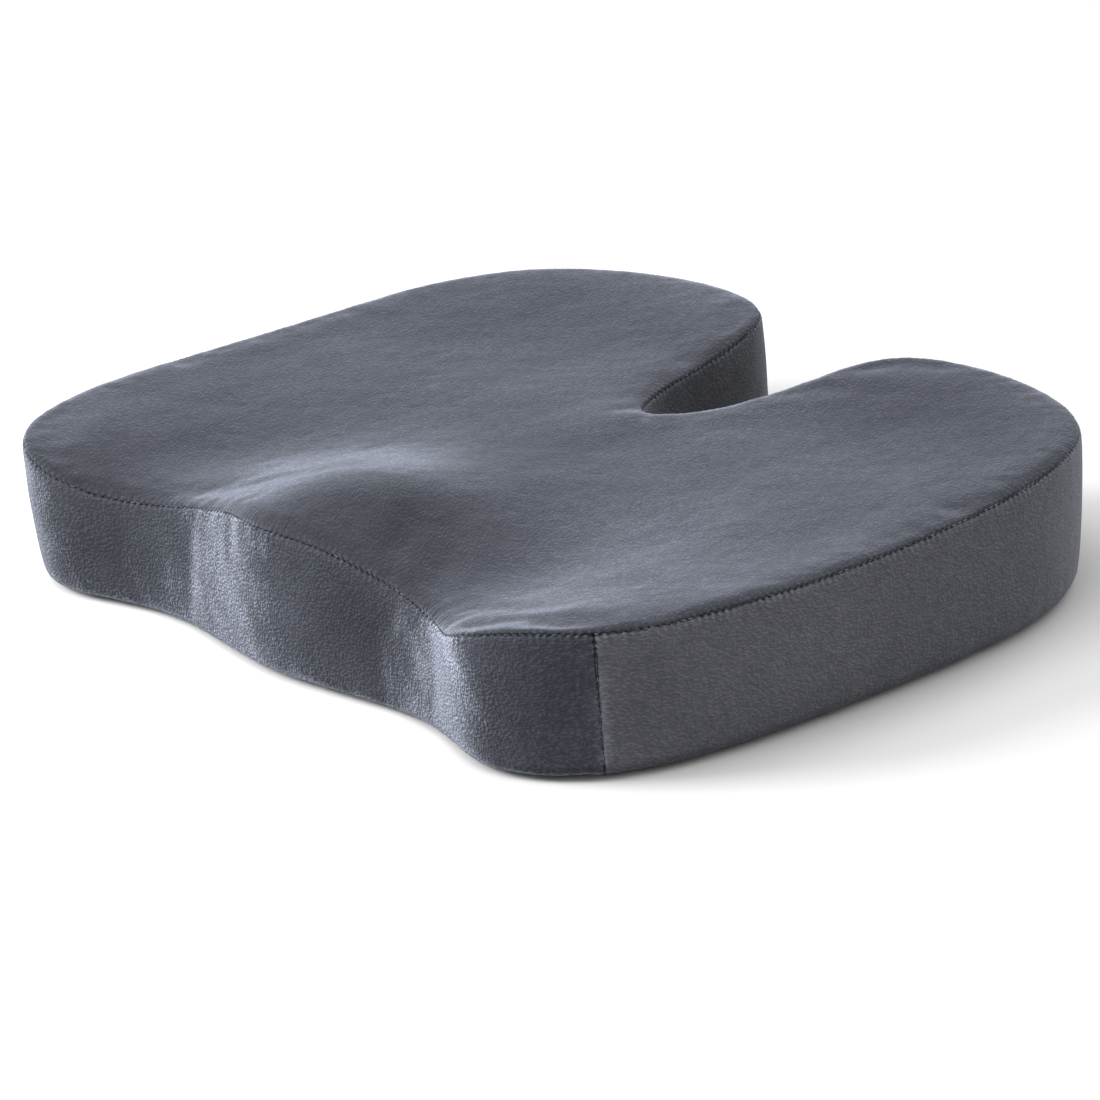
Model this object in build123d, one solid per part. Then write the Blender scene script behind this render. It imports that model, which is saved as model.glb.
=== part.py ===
from build123d import *
import math
import os

# U-shaped seat cushion: a moulded foam core in a sewn, zipped cover.
# Millimetres. +X is the sitter's right, -Y the front edge, +Y the open end of
# the tailbone notch, +Z up. The origin is under the middle of the cushion.

# ---------------------------------------------------------------- dimensions
fabric_t = 2.0            # pile fabric, backing and seam bulk
bottom_t = 1.6            # dotted underside fabric
fit_gap = 0.15            # between the cover and the foam
seam_gap = 0.6            # width of a stitched joint between two panels
seam_half = seam_gap / 2
edge_roll = 1.6           # radius of the rolled top edge

# Grip dots
dot_h = 1.0
dot_r = 2.2
dot_pitch = 17.0
dot_row_step = dot_pitch * 0.866
dot_margin = 9.0          # dot centres stay this far inside the plan
dot_clearance = 1.0       # from a dot's rim to the zip channel's wall

# Levels of the cover's underside
floor_z = dot_h                   # lower face of the fabric
floor_top_z = floor_z + bottom_t  # upper face of the fabric

# Cutting solids
overrun = 1.0             # how far a cutter runs past what it cuts
reach_x = 240.0           # half sizes of a box wider than the cushion
reach_y = 200.0
above_z = 84.0            # higher than any point of the top face

# Half of the plan, from the front centre round to the notch's inner end:
# x, y at the underside, height of the top seam, and how far the top of the
# wall stands outside (+) or inside (-) its foot.
stations = [
    (0.0, -159.6, 66.4, -3.6), (31.2, -157.1, 63.9, -6.4), (63.3, -152.3, 57.2, -7.6),
    (92.3, -151.0, 51.4, -6.2), (121.0, -155.8, 51.0, -1.4), (147.6, -161.9, 58.2, 4.4),
    (169.8, -159.5, 64.0, 4.4), (189.0, -147.8, 65.4, 3.6), (206.9, -124.0, 64.2, 3.6),
    (216.6, -87.9, 64.4, 4.6), (219.4, -42.0, 64.0, 5.0), (218.6, 6.0, 64.3, 4.6),
    (215.2, 50.0, 65.6, 4.8), (207.2, 92.0, 67.2, 4.8), (188.2, 130.0, 67.6, 4.8),
    (157.6, 157.6, 66.6, 4.0), (114.0, 171.4, 67.0, 2.6), (72.6, 169.2, 68.4, 1.0),
    (44.3, 153.4, 68.6, 0.6), (31.4, 124.1, 64.8, 0.6), (24.8, 93.4, 62.0, 0.8),
    (15.3, 66.6, 60.8, 1.0), (0.0, 51.8, 61.4, 0.8),
]
y_centre = -3.83          # moves the plan so that its box is centred on Y

# Height of the top face: rows run front to back, columns outwards from the
# centre line. The centre ridge, the two thigh channels and the seat hollow.
top_x = [0.0, 28.0, 56.0, 84.0, 112.0, 142.0, 172.0, 226.0]
top_y = [-172.0, -140.0, -100.0, -55.0, 0.0, 50.0, 100.0, 145.0, 182.0]
top_z = [
    [67.8, 66.1, 60.9, 55.3, 51.6, 58.4, 65.8, 66.0],
    [73.1, 68.9, 61.7, 55.9, 54.6, 58.7, 64.8, 65.6],
    [74.7, 70.8, 63.1, 57.2, 55.1, 58.3, 62.6, 66.6],
    [66.1, 64.4, 60.9, 58.2, 57.7, 59.4, 61.7, 66.2],
    [61.5, 61.3, 61.0, 61.2, 61.6, 62.6, 63.0, 66.2],
    [63.5, 62.2, 62.0, 61.9, 62.5, 63.6, 65.2, 67.8],
    [64.4, 64.4, 63.8, 63.4, 64.0, 65.8, 68.0, 69.8],
    [67.4, 69.0, 69.8, 68.8, 68.4, 68.4, 69.0, 69.8],
    [68.4, 71.6, 71.4, 70.0, 69.0, 68.4, 68.0, 68.2],
]

# Upright joins at the front corners (right one given; the left mirrors it)
corner_x, corner_y = 203.6, -136.8 + y_centre
corner_out = (0.80, -0.60)        # outwards, square to the wall there
corner_cut = 14.0                 # reach of the cut either side of the wall

# Zip and the turned-in channel across the underside, both along X
zip_y = -2.0              # the zip's line
zip_half = 176.0          # half length of the slot
channel_half_x = 190.0    # half length of the channel, at its mouth
channel_mouth = 15.6      # half width at the mouth
channel_roof = 12.6       # half width at the roof
channel_wall = 1.8        # added to the mouth's half sizes by the fabric
roof_z = 6.0              # height of the roof's lower face
roof_t = 1.4
slot_half = 5.2           # half width of the slot the zip shows through
tape_z = roof_z + roof_t  # the tapes lie on the roof, inside
tape_t = 0.6
tape_w = 13.2
tape_extra = 4.0          # tape beyond each end of the slot
coil_end = zip_half - 5.5
coil_w = 2.2
coil_h = 1.8
coil_gap = 0.65           # half the gap between the two rows of coil
coil_outer = coil_gap + coil_w
stop_z = tape_z - 2.1     # lower face of the stops
stop_gap = 0.2            # along X, between coil and stop

# Slider and pull
slider_x = 163.0          # zip closed
slider_half_x, slider_half_y = 6.5, 4.75
face_z = tape_z - 2.15    # inner face of the outer plate
outer_low = face_z - 1.1  # its outer face
back_z = tape_z + tape_t + 0.15   # lower face of the back plate
back_t = 1.0
bridge_low = outer_low - 2.3
eye_h = 1.25              # height of the opening under the bridge
pin_z = outer_low - eye_h / 2
pin_r = 0.5
arm_inner, arm_outer = 1.7, 3.0   # the pull's arms, from the zip's line
tab_length = 27.0

# Care label
label_x, label_y = -96.0, 60.0
label_half_x, label_half_y = 15.0, 22.0
label_top_z = floor_top_z + 0.3
label_gap = 0.4           # around the label, in the foam


# ------------------------------------------------------------ spline helpers
def cubic(t, span, start, end, start_bend, end_bend):
    """Cubic between two knots; the bends are its second derivatives there."""
    s = 1.0 - t
    bend = (s ** 3 - s) * start_bend + (t ** 3 - t) * end_bend
    return s * start + t * end + bend * span ** 2 / 6.0


def natural_bends(knots, values):
    """Natural cubic spline: second derivatives at the knots."""
    bends = [0.0] * len(knots)
    carry = [0.0] * len(knots)
    for i in range(1, len(knots) - 1):
        before = knots[i] - knots[i - 1]
        after = knots[i + 1] - knots[i]
        both = knots[i + 1] - knots[i - 1]
        share = before / both
        pivot = share * bends[i - 1] + 2.0
        bends[i] = (share - 1.0) / pivot
        turn = (values[i + 1] - values[i]) / after - (values[i] - values[i - 1]) / before
        carry[i] = (6.0 * turn / both - share * carry[i - 1]) / pivot
    for i in range(len(knots) - 2, 0, -1):
        bends[i] = bends[i] * bends[i + 1] + carry[i]
    return bends


def spline_at(knots, values, bends, x):
    x = min(max(x, knots[0]), knots[-1])
    i = 0
    while i < len(knots) - 2 and x > knots[i + 1]:
        i += 1
    span = knots[i + 1] - knots[i]
    t = (x - knots[i]) / span
    return cubic(t, span, values[i], values[i + 1], bends[i], bends[i + 1])


def cyclic_bends(values, spans):
    """Closed cubic spline: second derivatives, by repeated sweeps."""
    n = len(values)
    slopes = [(values[(i + 1) % n] - values[i]) / spans[i] for i in range(n)]
    bends = [0.0] * n
    for _ in range(200):
        for i in range(n):
            turn = 6.0 * (slopes[i] - slopes[i - 1])
            known = spans[i - 1] * bends[i - 1] + spans[i] * bends[(i + 1) % n]
            bends[i] = (turn - known) / (2.0 * (spans[i - 1] + spans[i]))
    return bends


def closed_curve(points, per_span):
    """Closed cubic spline through the points, sampled per_span to a span."""
    n = len(points)
    spans = [math.dist(points[i][:2], points[(i + 1) % n][:2]) ** 0.5 for i in range(n)]
    columns = [(values, cyclic_bends(values, spans)) for values in zip(*points)]
    return [
        tuple(
            cubic(step / per_span, spans[i], values[i], values[(i + 1) % n],
                  bends[i], bends[(i + 1) % n])
            for values, bends in columns)
        for i in range(n) for step in range(per_span)
    ]


# ------------------------------------------------------- plan and top surface
# Closed plan: right half then its mirror, counter-clockwise seen from above.
left_half = [(-x, y, seam_z, lean) for x, y, seam_z, lean in reversed(stations[1:-1])]
plan = closed_curve(stations + left_half, 2)
count = len(plan)


def normal(i):
    """Outward unit normal of the plan at sample i."""
    before, after = plan[i - 1], plan[(i + 1) % count]
    dx, dy = after[0] - before[0], after[1] - before[1]
    length = math.hypot(dx, dy)
    return dy / length, -dx / length


normals = [normal(i) for i in range(count)]


def wall_points(inset, z):
    """The plan, moved in by inset, where the leaning wall crosses height z."""
    points = []
    for (x, y, seam_z, lean), (out_x, out_y) in zip(plan, normals):
        shift = lean * z / seam_z - inset
        points.append((x + out_x * shift, y + out_y * shift + y_centre))
    return points


mirror_x = [-x for x in reversed(top_x[1:])] + top_x
mirror_z = [list(reversed(row[1:])) + row for row in top_z]
top_rows = [(row, natural_bends(mirror_x, row)) for row in mirror_z]


def top_height(x, y):
    heights = [spline_at(mirror_x, row, bends, x) for row, bends in top_rows]
    return spline_at(top_y, heights, natural_bends(top_y, heights), y)


# ------------------------------------------------------------- solid helpers
def outline(inset, z):
    """The wall's section at height z: splines over four samples each."""
    points = [Vector(x, y, z) for x, y in wall_points(inset, z)]
    edges = []
    for i in range(0, count, 4):
        run = [points[(i + k) % count] for k in range(5)]
        tangents = [points[(i + 1) % count] - points[i - 1],
                    points[(i + 5) % count] - points[(i + 3) % count]]
        edges.append(Edge.make_spline(run, tangents=tangents))
    return Wire(edges)


def column(inset, z0, z1=above_z):
    """Solid inside the wall, between two heights."""
    return Solid.make_loft([outline(inset, z0), outline(inset, z1)], ruled=True)


def under(drop):
    """Everything below the top face lowered by drop."""
    columns, rows = 25, 21
    grid = []
    for j in range(rows):
        y = -180.0 + 364.0 * j / (rows - 1)
        xs = [-234.0 + 468.0 * i / (columns - 1) for i in range(columns)]
        grid.append([Vector(x, y + y_centre, top_height(x, y) - drop) for x in xs])
    face = Face.make_surface_from_array_of_points(grid, tol=1e-2, min_deg=3, max_deg=3)
    return Solid.extrude(face, Vector(0, 0, -100.0))


def largest(shape):
    return max(shape.solids(), key=lambda s: s.volume)


def box(x0, x1, y0, y1, z0, z1):
    return Solid.make_box(x1 - x0, y1 - y0, z1 - z0, Plane((x0, y0, z0)))


def zip_box(x0, x1, half_y, z0, z1):
    """Box centred across the zip's line."""
    return box(x0, x1, zip_y - half_y, zip_y + half_y, z0, z1)


def side_box(side, x0, x1, near, far, z0, z1):
    """Box between two distances from the zip's line, front (-1) or rear (1)."""
    y0, y1 = sorted((zip_y + side * near, zip_y + side * far))
    return box(x0, x1, y0, y1, z0, z1)


def zip_taper(low_x, low_y, low_z, high_x, high_y, high_z):
    """Four-sided taper centred on the zip's line, from half sizes."""
    wires = []
    for x, y, z in ((low_x, low_y, low_z), (high_x, high_y, high_z)):
        wires.append(Wire.make_polygon([
            Vector(-x, zip_y - y, z), Vector(x, zip_y - y, z),
            Vector(x, zip_y + y, z), Vector(-x, zip_y + y, z)], close=True))
    return Solid.make_loft(wires, ruled=True)


def prism(points, z0, z1):
    wire = Wire.make_polygon([Vector(x, y, z0) for x, y in points], close=True)
    return Solid.extrude(Face(wire), Vector(0, 0, z1 - z0))


def slider_prism(rear_half, z0, z1):
    """Prism mirrored about the zip's line, placed from the slider's centre."""
    points = [(x, -y) for x, y in reversed(rear_half)] + rear_half
    return prism([(slider_x + x, zip_y + y) for x, y in points], z0, z1)


def round_low(solid, z, radius, longer=0.0, shorter=math.inf):
    """Fillet the edges centred at height z, within a range of lengths."""
    edges = [e for e in solid.edges()
             if abs(e.center().Z - z) < 0.01 and longer < e.length < shorter]
    return solid.fillet(radius, edges)


# ----------------------------------------------------------- top and side band
def make_top_panel(under_panel):
    """Top sheet, with the rim of its upper face rolled."""
    block = largest(column(0.0, floor_z) & under(0.0))
    sheet = largest(block - under_panel)
    upper = max(sheet.faces(), key=lambda f: f.area * (1.0 if f.normal_at().Z > 0 else 0.0))
    return sheet.fillet(edge_roll, upper.outer_wire().edges())


def corner_slab(sign):
    """Thin upright slab through the right (1) or left (-1) front corner."""
    out_x, out_y = corner_out
    points = []
    for out, along in ((-corner_cut, -seam_half), (corner_cut, -seam_half),
                       (corner_cut, seam_half), (-corner_cut, seam_half)):
        x = corner_x + out_x * out - out_y * along
        y = corner_y + out_y * out + out_x * along
        points.append((sign * x, y))
    if sign < 0:
        points.reverse()
    return prism(points, 0.0, 80.0)


def make_bands(band):
    """Wall cut at each front corner and in the notch, with thread in the cuts."""
    slabs = [corner_slab(1), corner_slab(-1),
             box(-seam_half, seam_half, 20.0, 80.0, 0.0, 80.0)]
    made = {"band_seam_threads": Compound([largest(band & slab) for slab in slabs])}
    for piece in (band - slabs[0] - slabs[1] - slabs[2]).solids():
        centre = piece.center()
        if centre.Y < -120.0:
            made["front_band"] = piece
        elif centre.X > 0:
            made["right_band"] = piece
        else:
            made["left_band"] = piece
    return made


def make_upper_cover(hollow):
    under_panel = under(fabric_t)
    under_seam = under(fabric_t + seam_gap)
    made = {"top_panel": make_top_panel(under_panel)}
    wall = largest(column(0.0, floor_z) - hollow)
    band = largest(wall & under_seam)
    made["top_seam_thread"] = largest((wall & under_panel) - under_seam)
    made.update(make_bands(band))
    return made


# ---------------------------------------------------------------- underside
def make_bottom_seam(hollow):
    """Thread between the wall and the rim of the underside."""
    inner = column(fabric_t + seam_gap, floor_z - overrun, floor_top_z + overrun)
    outer = largest(hollow & box(-reach_x, reach_x, -reach_y, reach_y,
                                 floor_z + 0.2, floor_top_z - 0.2))
    return largest(outer - inner)


def make_underside():
    """Front and rear panels with the channel, and the join beyond its ends."""
    plate = column(fabric_t + seam_gap, floor_z, floor_top_z)
    mouth = zip_taper(channel_half_x, channel_mouth, floor_z - overrun,
                      channel_half_x - 4.0, channel_roof, roof_z)
    tray = zip_taper(channel_half_x + channel_wall, channel_mouth + channel_wall, floor_z,
                     channel_half_x - 2.6, channel_roof + 1.6, tape_z)
    slot = zip_box(-zip_half, zip_half, slot_half, roof_z - overrun, tape_z + overrun)
    underside = largest(plate.fuse(tray) - mouth - slot)
    join = zip_box(-reach_x, reach_x, seam_half, -5.0, 12.0)
    made = {}
    for piece in (underside - join).solids():
        end = "front" if piece.center().Y < zip_y else "rear"
        made["bottom_panel_" + end] = piece
    threads = (underside & join).solids()
    made["panel_join_threads"] = Compound([s for s in threads if s.volume > 1.0])
    return made


def make_zip_stitches():
    """A run of stitches along each side of the slot, under the roof."""
    stitch_line = slot_half + 2.2
    stitch_half_w = 0.25
    stitch_l, stitch_pitch, stitch_h = 3.2, 4.4, 0.3
    stitches = []
    for side in (-1, 1):
        x = -zip_half + 1.0
        while x + stitch_l < zip_half:
            stitches.append(side_box(side, x, x + stitch_l, stitch_line - stitch_half_w,
                                     stitch_line + stitch_half_w, roof_z - stitch_h, roof_z))
            x += stitch_pitch
    return Compound(stitches)


def inside(x, y, polygon):
    """Whether the point is in the polygon, by counting crossings."""
    hit = False
    for i, (x1, y1) in enumerate(polygon):
        x0, y0 = polygon[i - 1]
        if (y1 > y) != (y0 > y) and x < (x0 - x1) * (y - y1) / (y0 - y1) + x1:
            hit = not hit
    return hit


def make_grip_dots():
    """Staggered rows, clear of the zip's channel and of the rim."""
    limit = wall_points(dot_margin, 0.0)
    clear_y = channel_mouth + channel_wall + dot_r + dot_clearance
    front, rear = [], []
    for j in range(-12, 13):
        y = zip_y + j * dot_row_step + dot_row_step / 2.0
        for i in range(-15, 16):
            x = (i + (0.5 if j % 2 else 0.0)) * dot_pitch
            if abs(y - zip_y) > clear_y and inside(x, y, limit):
                dot = Solid.make_cylinder(dot_r, dot_h, Plane((x, y, 0.0)))
                (front if y < zip_y else rear).append(dot)
    return {"grip_dots_front": Compound(front), "grip_dots_rear": Compound(rear)}


# ---------------------------------------------------------------------- zip
def make_tape(side):
    end = zip_half + tape_extra
    return side_box(side, -end, end, coil_gap, coil_gap + tape_w, tape_z, tape_z + tape_t)


def make_coil(side):
    low_z = tape_z - coil_h
    coil = side_box(side, -coil_end, coil_end, coil_gap, coil_outer, low_z, tape_z)
    return round_low(coil, low_z, 0.7, longer=100)


def make_top_stops():
    """A stop at the right end of each row of coil."""
    stops = []
    for side in (-1, 1):
        stop = side_box(side, coil_end + stop_gap, coil_end + 3.4,
                        coil_gap + 0.1, coil_outer + 0.3, stop_z, tape_z)
        stops.append(round_low(stop, stop_z, 0.5))
    return Compound(stops)


def make_bottom_stop():
    """One stop across both rows, at their left end."""
    stop = zip_box(-coil_end - 3.8, -coil_end - stop_gap, coil_outer + 0.3, stop_z, tape_z)
    return round_low(stop, stop_z, 0.5)


def make_slider():
    """Two plates joined by a wedge that runs between the rows of coil, side
    lips that hold the rows in, and a bridge for the pull."""
    half_x, half_y = slider_half_x, slider_half_y
    shield = [(half_x, half_y - 1.2), (half_x - 1.2, half_y), (0.0, half_y),
              (-half_x + 1.6, half_y * 0.80), (-half_x, half_y * 0.62)]
    front_plate = round_low(slider_prism(shield, outer_low, face_z), outer_low, 0.45)
    back_plate = slider_prism(shield, back_z, back_z + back_t)
    wedge = zip_box(slider_x + 0.5, slider_x + 5.5, 0.45, face_z - 0.2, back_z + 0.2)
    slider = front_plate.fuse(back_plate, wedge)
    for side in (-1, 1):
        slider = slider.fuse(side_box(side, slider_x - 2.0, slider_x + 5.0, coil_outer + 0.25,
                                      half_y - 0.05, face_z - 0.3, tape_z - 0.15))
    bridge = zip_box(slider_x - 4.2, slider_x + 4.2, 1.1, bridge_low, outer_low + 0.3)
    bridge = round_low(bridge, bridge_low, 1.2, shorter=3)
    eye = zip_box(slider_x - 2.7, slider_x + 2.7, 2.0, outer_low - eye_h, outer_low)
    return largest(slider.fuse(bridge) - eye)


def make_pull():
    """A cross pin through the bridge's eye, two arms and a tapered tab."""
    pin_plane = Plane((slider_x, zip_y - arm_outer, pin_z), x_dir=(1, 0, 0), z_dir=(0, 1, 0))
    pull = Solid.make_cylinder(pin_r, 2 * arm_outer, pin_plane)
    for side in (-1, 1):
        pull = pull.fuse(side_box(side, slider_x - 8.0, slider_x, arm_inner, arm_outer,
                                  pin_z - pin_r, pin_z + pin_r))
    tab = [(-7.2, arm_outer), (-tab_length + 3.0, 3.6), (-tab_length + 0.8, 2.8),
           (-tab_length, 1.2)]
    blade = slider_prism(tab, pin_z - 0.6, pin_z + 0.6)
    window = zip_box(slider_x - tab_length + 4.5, slider_x - 12.0, 1.5,
                     pin_z - 2.0, pin_z + 2.0)
    return largest(pull.fuse(blade) - window)


# ------------------------------------------------------- label and foam core
def label_box(margin, z0, z1):
    half_x, half_y = label_half_x + margin, label_half_y + margin
    return box(label_x - half_x, label_x + half_x, label_y - half_y, label_y + half_y, z0, z1)


def make_foam_core():
    """Foam filling the cover, relieved over the channel, zip and label."""
    inset = fabric_t + fit_gap
    core = largest(column(inset, floor_top_z + fit_gap) & under(inset))
    relief = zip_taper(channel_half_x + 3.0, channel_mouth + 3.0, floor_z - overrun,
                       channel_half_x - 0.4, channel_roof + 3.0, tape_z + tape_t + fit_gap)
    track = zip_box(-zip_half, zip_half, 5.6, 0.0, back_z + back_t + 0.3)
    core = largest(core - relief - track)
    return largest(core - label_box(label_gap, 0.0, label_top_z + fit_gap))


# ------------------------------------------------------------ build and export
hollow = column(fabric_t, floor_z - 5.0)      # space inside the wall
parts = {
    **make_upper_cover(hollow),
    "bottom_seam_thread": make_bottom_seam(hollow),
    **make_underside(),
    "zip_stitch_threads": make_zip_stitches(),
    **make_grip_dots(),
    "zipper_top_stops": make_top_stops(),
    "zipper_bottom_stop": make_bottom_stop(),
    "zipper_slider": make_slider(),
    "zipper_pull_tab": make_pull(),
    # The blank label lies flat between the foam and the rear panel.
    "care_label": label_box(0.0, floor_top_z, label_top_z),
    "foam_core": make_foam_core(),
}
for end, side in (("front", -1), ("rear", 1)):
    parts["zipper_tape_" + end] = make_tape(side)
    parts["zipper_coil_" + end] = make_coil(side)

os.makedirs("parts", exist_ok=True)
for name, shape in parts.items():
    shape.label = name
    export_step(shape, "parts/" + name + ".step")
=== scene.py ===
"""A contoured foam cushion in a velour cover, with a zip and grip dots underneath.

It rests on z = 0 with +Z up. The front faces -Y, +X is to the right, and the two
rear lobes have a notch between them at x = 0. Shapes are worked out in millimetres
and turned into metres when a mesh is made; materials and the stage are in metres.
"""
import math

import bmesh
import bpy
import numpy as np
from mathutils import Matrix, Vector, geometry, kdtree


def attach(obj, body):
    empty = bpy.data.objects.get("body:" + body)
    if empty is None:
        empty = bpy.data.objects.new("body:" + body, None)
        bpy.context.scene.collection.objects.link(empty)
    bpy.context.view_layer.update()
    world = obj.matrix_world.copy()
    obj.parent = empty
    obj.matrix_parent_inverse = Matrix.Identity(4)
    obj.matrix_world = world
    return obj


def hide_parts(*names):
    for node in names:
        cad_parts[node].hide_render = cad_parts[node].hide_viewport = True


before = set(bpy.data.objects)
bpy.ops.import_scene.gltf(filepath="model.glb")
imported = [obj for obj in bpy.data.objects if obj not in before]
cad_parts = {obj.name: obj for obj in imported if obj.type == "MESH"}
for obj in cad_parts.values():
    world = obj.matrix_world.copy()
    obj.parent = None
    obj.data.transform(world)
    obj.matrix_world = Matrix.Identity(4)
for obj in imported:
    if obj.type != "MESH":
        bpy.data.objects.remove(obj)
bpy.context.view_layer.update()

# ------------------------------------------------------------------ the form
# Stations round the right half of the outline, from front middle to rear notch:
# x, y, height of the top seam, outward lean of the wall at the seam.
STATIONS = np.array([
    (0.0, -159.6, 66.4, -3.6), (31.2, -157.1, 63.9, -6.4), (63.3, -152.3, 57.2, -7.6),
    (92.3, -151.0, 51.4, -6.2), (121.0, -155.8, 51.0, -1.4), (147.6, -161.9, 58.2, 4.4),
    (169.8, -159.5, 64.0, 4.4), (189.0, -147.8, 65.4, 3.6), (206.9, -124.0, 64.2, 3.6),
    (216.6, -87.9, 64.4, 4.6), (219.4, -42.0, 64.0, 5.0), (218.6, 6.0, 64.3, 4.6),
    (215.2, 50.0, 65.6, 4.8), (207.2, 92.0, 67.2, 4.8), (188.2, 130.0, 67.6, 4.8),
    (157.6, 157.6, 66.6, 4.0), (114.0, 171.4, 67.0, 2.6), (72.6, 169.2, 68.4, 1.0),
    (44.3, 153.4, 68.6, 0.6), (31.4, 124.1, 64.8, 0.6), (24.8, 93.4, 62.0, 0.8),
    (15.3, 66.6, 60.8, 1.0), (0.0, 51.8, 61.4, 0.8),
])
Y_CENTRE = -3.83       # y of the outline's origin in the part's frame
# Heights of the top face: one row for each TOP_Y, one column for each TOP_X.
TOP_X = np.array([0.0, 28.0, 56.0, 84.0, 112.0, 142.0, 172.0, 226.0])
TOP_Y = np.array([-172.0, -140.0, -100.0, -55.0, 0.0, 50.0, 100.0, 145.0, 182.0])
TOP_Z = np.array([
    [67.8, 66.1, 60.9, 55.3, 51.6, 58.4, 65.8, 66.0],
    [73.1, 68.9, 61.7, 55.9, 54.6, 58.7, 64.8, 65.6],
    [74.7, 70.8, 63.1, 57.2, 55.1, 58.3, 62.6, 66.6],
    [66.1, 64.4, 60.9, 58.2, 57.7, 59.4, 61.7, 66.2],
    [61.5, 61.3, 61.0, 61.2, 61.6, 62.6, 63.0, 66.2],
    [63.5, 62.2, 62.0, 61.9, 62.5, 63.6, 65.2, 67.8],
    [64.4, 64.4, 63.8, 63.4, 64.0, 65.8, 68.0, 69.8],
    [67.4, 69.0, 69.8, 68.8, 68.4, 68.4, 69.0, 69.8],
    [68.4, 71.6, 71.4, 70.0, 69.0, 68.4, 68.0, 68.2],
])
CORNER_X, CORNER_Y = 203.6, -136.8      # upright seam at the front right corner

FOOT_R = 6.2                            # radius the wall rolls under with
FOOT_Z = 1.05                           # height of the underside seam
FOOT_TOP = FOOT_Z + FOOT_R
SEAM_DEPTH = 1.15                       # how far the cover turns in at the top seam
SIDE_PITCH = 3.0                        # stitch pitch up the corner seams
OPEN_CLOTH = 20.0                       # seam distance given to cloth far from a seam


def natural_second(knots):
    """Matrix from knot values to second derivatives of the natural cubic spline."""
    count = len(knots)
    left = np.zeros((count, count))
    right = np.zeros((count, count))
    left[0, 0] = left[-1, -1] = 1.0
    for i in range(1, count - 1):
        before, after = knots[i] - knots[i - 1], knots[i + 1] - knots[i]
        left[i, i - 1:i + 2] = before, 2 * (before + after), after
        right[i, i - 1:i + 2] = 6 / before, -6 / before - 6 / after, 6 / after
    return np.linalg.solve(left, right)


def spline_weights(x, knots, second):
    """Rows of weights: the spline's value at each x as a sum over the knots."""
    x = np.clip(x, knots[0], knots[-1])
    i = np.clip(np.searchsorted(knots, x, side="left") - 1, 0, len(knots) - 2)
    span = knots[i + 1] - knots[i]
    low = (knots[i + 1] - x) / span
    high = (x - knots[i]) / span
    rows = np.arange(len(x))
    total = np.zeros((len(x), len(knots)))
    total[rows, i] += low
    total[rows, i + 1] += high
    total += ((low ** 3 - low) * span * span / 6)[:, None] * second[i]
    total += ((high ** 3 - high) * span * span / 6)[:, None] * second[i + 1]
    return total


FULL_X = np.concatenate([-TOP_X[:0:-1], TOP_X])
FULL_Z = np.concatenate([TOP_Z[:, :0:-1], TOP_Z], axis=1)
SECOND_X, SECOND_Y = natural_second(FULL_X), natural_second(TOP_Y)


def top_height(x, y):
    """Height of the top face; y is measured from Y_CENTRE."""
    across = spline_weights(x.ravel(), FULL_X, SECOND_X)
    deep = spline_weights(y.ravel(), TOP_Y, SECOND_Y)
    return np.einsum("ki,ij,kj->k", deep, FULL_Z, across, optimize=True).reshape(x.shape)


def top_at(points):
    """Height of the top face at 2D points in the part's frame."""
    return top_height(points[:, 0], points[:, 1] - Y_CENTRE)


# The whole outline is a closed spline through the stations and their mirror images.
RING = np.vstack([STATIONS, STATIONS[-2:0:-1] * np.array([-1, 1, 1, 1])])
CHORD = np.sqrt(np.hypot(*(np.roll(RING[:, :2], -1, 0) - RING[:, :2]).T))
KNOT_T = np.concatenate([[0.0], np.cumsum(CHORD)])


def cyclic_second(spans, values):
    """Second derivatives at the knots of a closed cubic spline."""
    count = len(spans)
    matrix = np.zeros((count, count))
    for i in range(count):
        matrix[i, i] = 2 * (spans[i - 1] + spans[i])
        matrix[i, i - 1] += spans[i - 1]
        matrix[i, (i + 1) % count] += spans[i]
    ahead = (np.roll(values, -1, 0) - values) / spans[:, None]
    behind = (values - np.roll(values, 1, 0)) / np.roll(spans, 1)[:, None]
    return np.linalg.solve(matrix, 6 * (ahead - behind))


RING_SECOND = cyclic_second(CHORD, RING)


def plan_at(t):
    """Station values and the unit outward normal at spline parameter t."""
    t = np.mod(t, KNOT_T[-1])
    i = np.clip(np.searchsorted(KNOT_T, t, side="right") - 1, 0, len(CHORD) - 1)
    j = (i + 1) % len(CHORD)
    span = CHORD[i][:, None]
    high = ((t - KNOT_T[i]) / CHORD[i])[:, None]
    low = 1 - high
    bend_i, bend_j = RING_SECOND[i], RING_SECOND[j]
    bend = (low ** 3 - low) * bend_i + (high ** 3 - high) * bend_j
    values = low * RING[i] + high * RING[j] + bend * span * span / 6
    slope_bend = -(3 * low * low - 1) * bend_i + (3 * high * high - 1) * bend_j
    slope = (RING[j] - RING[i]) / span + slope_bend * span / 6
    length = np.hypot(slope[:, 0], slope[:, 1])
    return values, np.c_[slope[:, 1] / length, -slope[:, 0] / length]


# Fine samples turn the spline parameter into distance along the outline, which
# starts at the front middle and runs to the right.
FINE_T = np.linspace(0, KNOT_T[-1], 12001)
FINE = plan_at(FINE_T[:-1])[0]
FINE = np.vstack([FINE, FINE[:1]])
FINE_ARC = np.concatenate([[0.0], np.cumsum(np.hypot(*np.diff(FINE[:, :2], axis=0).T))])
PERIMETER = FINE_ARC[-1]


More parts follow.
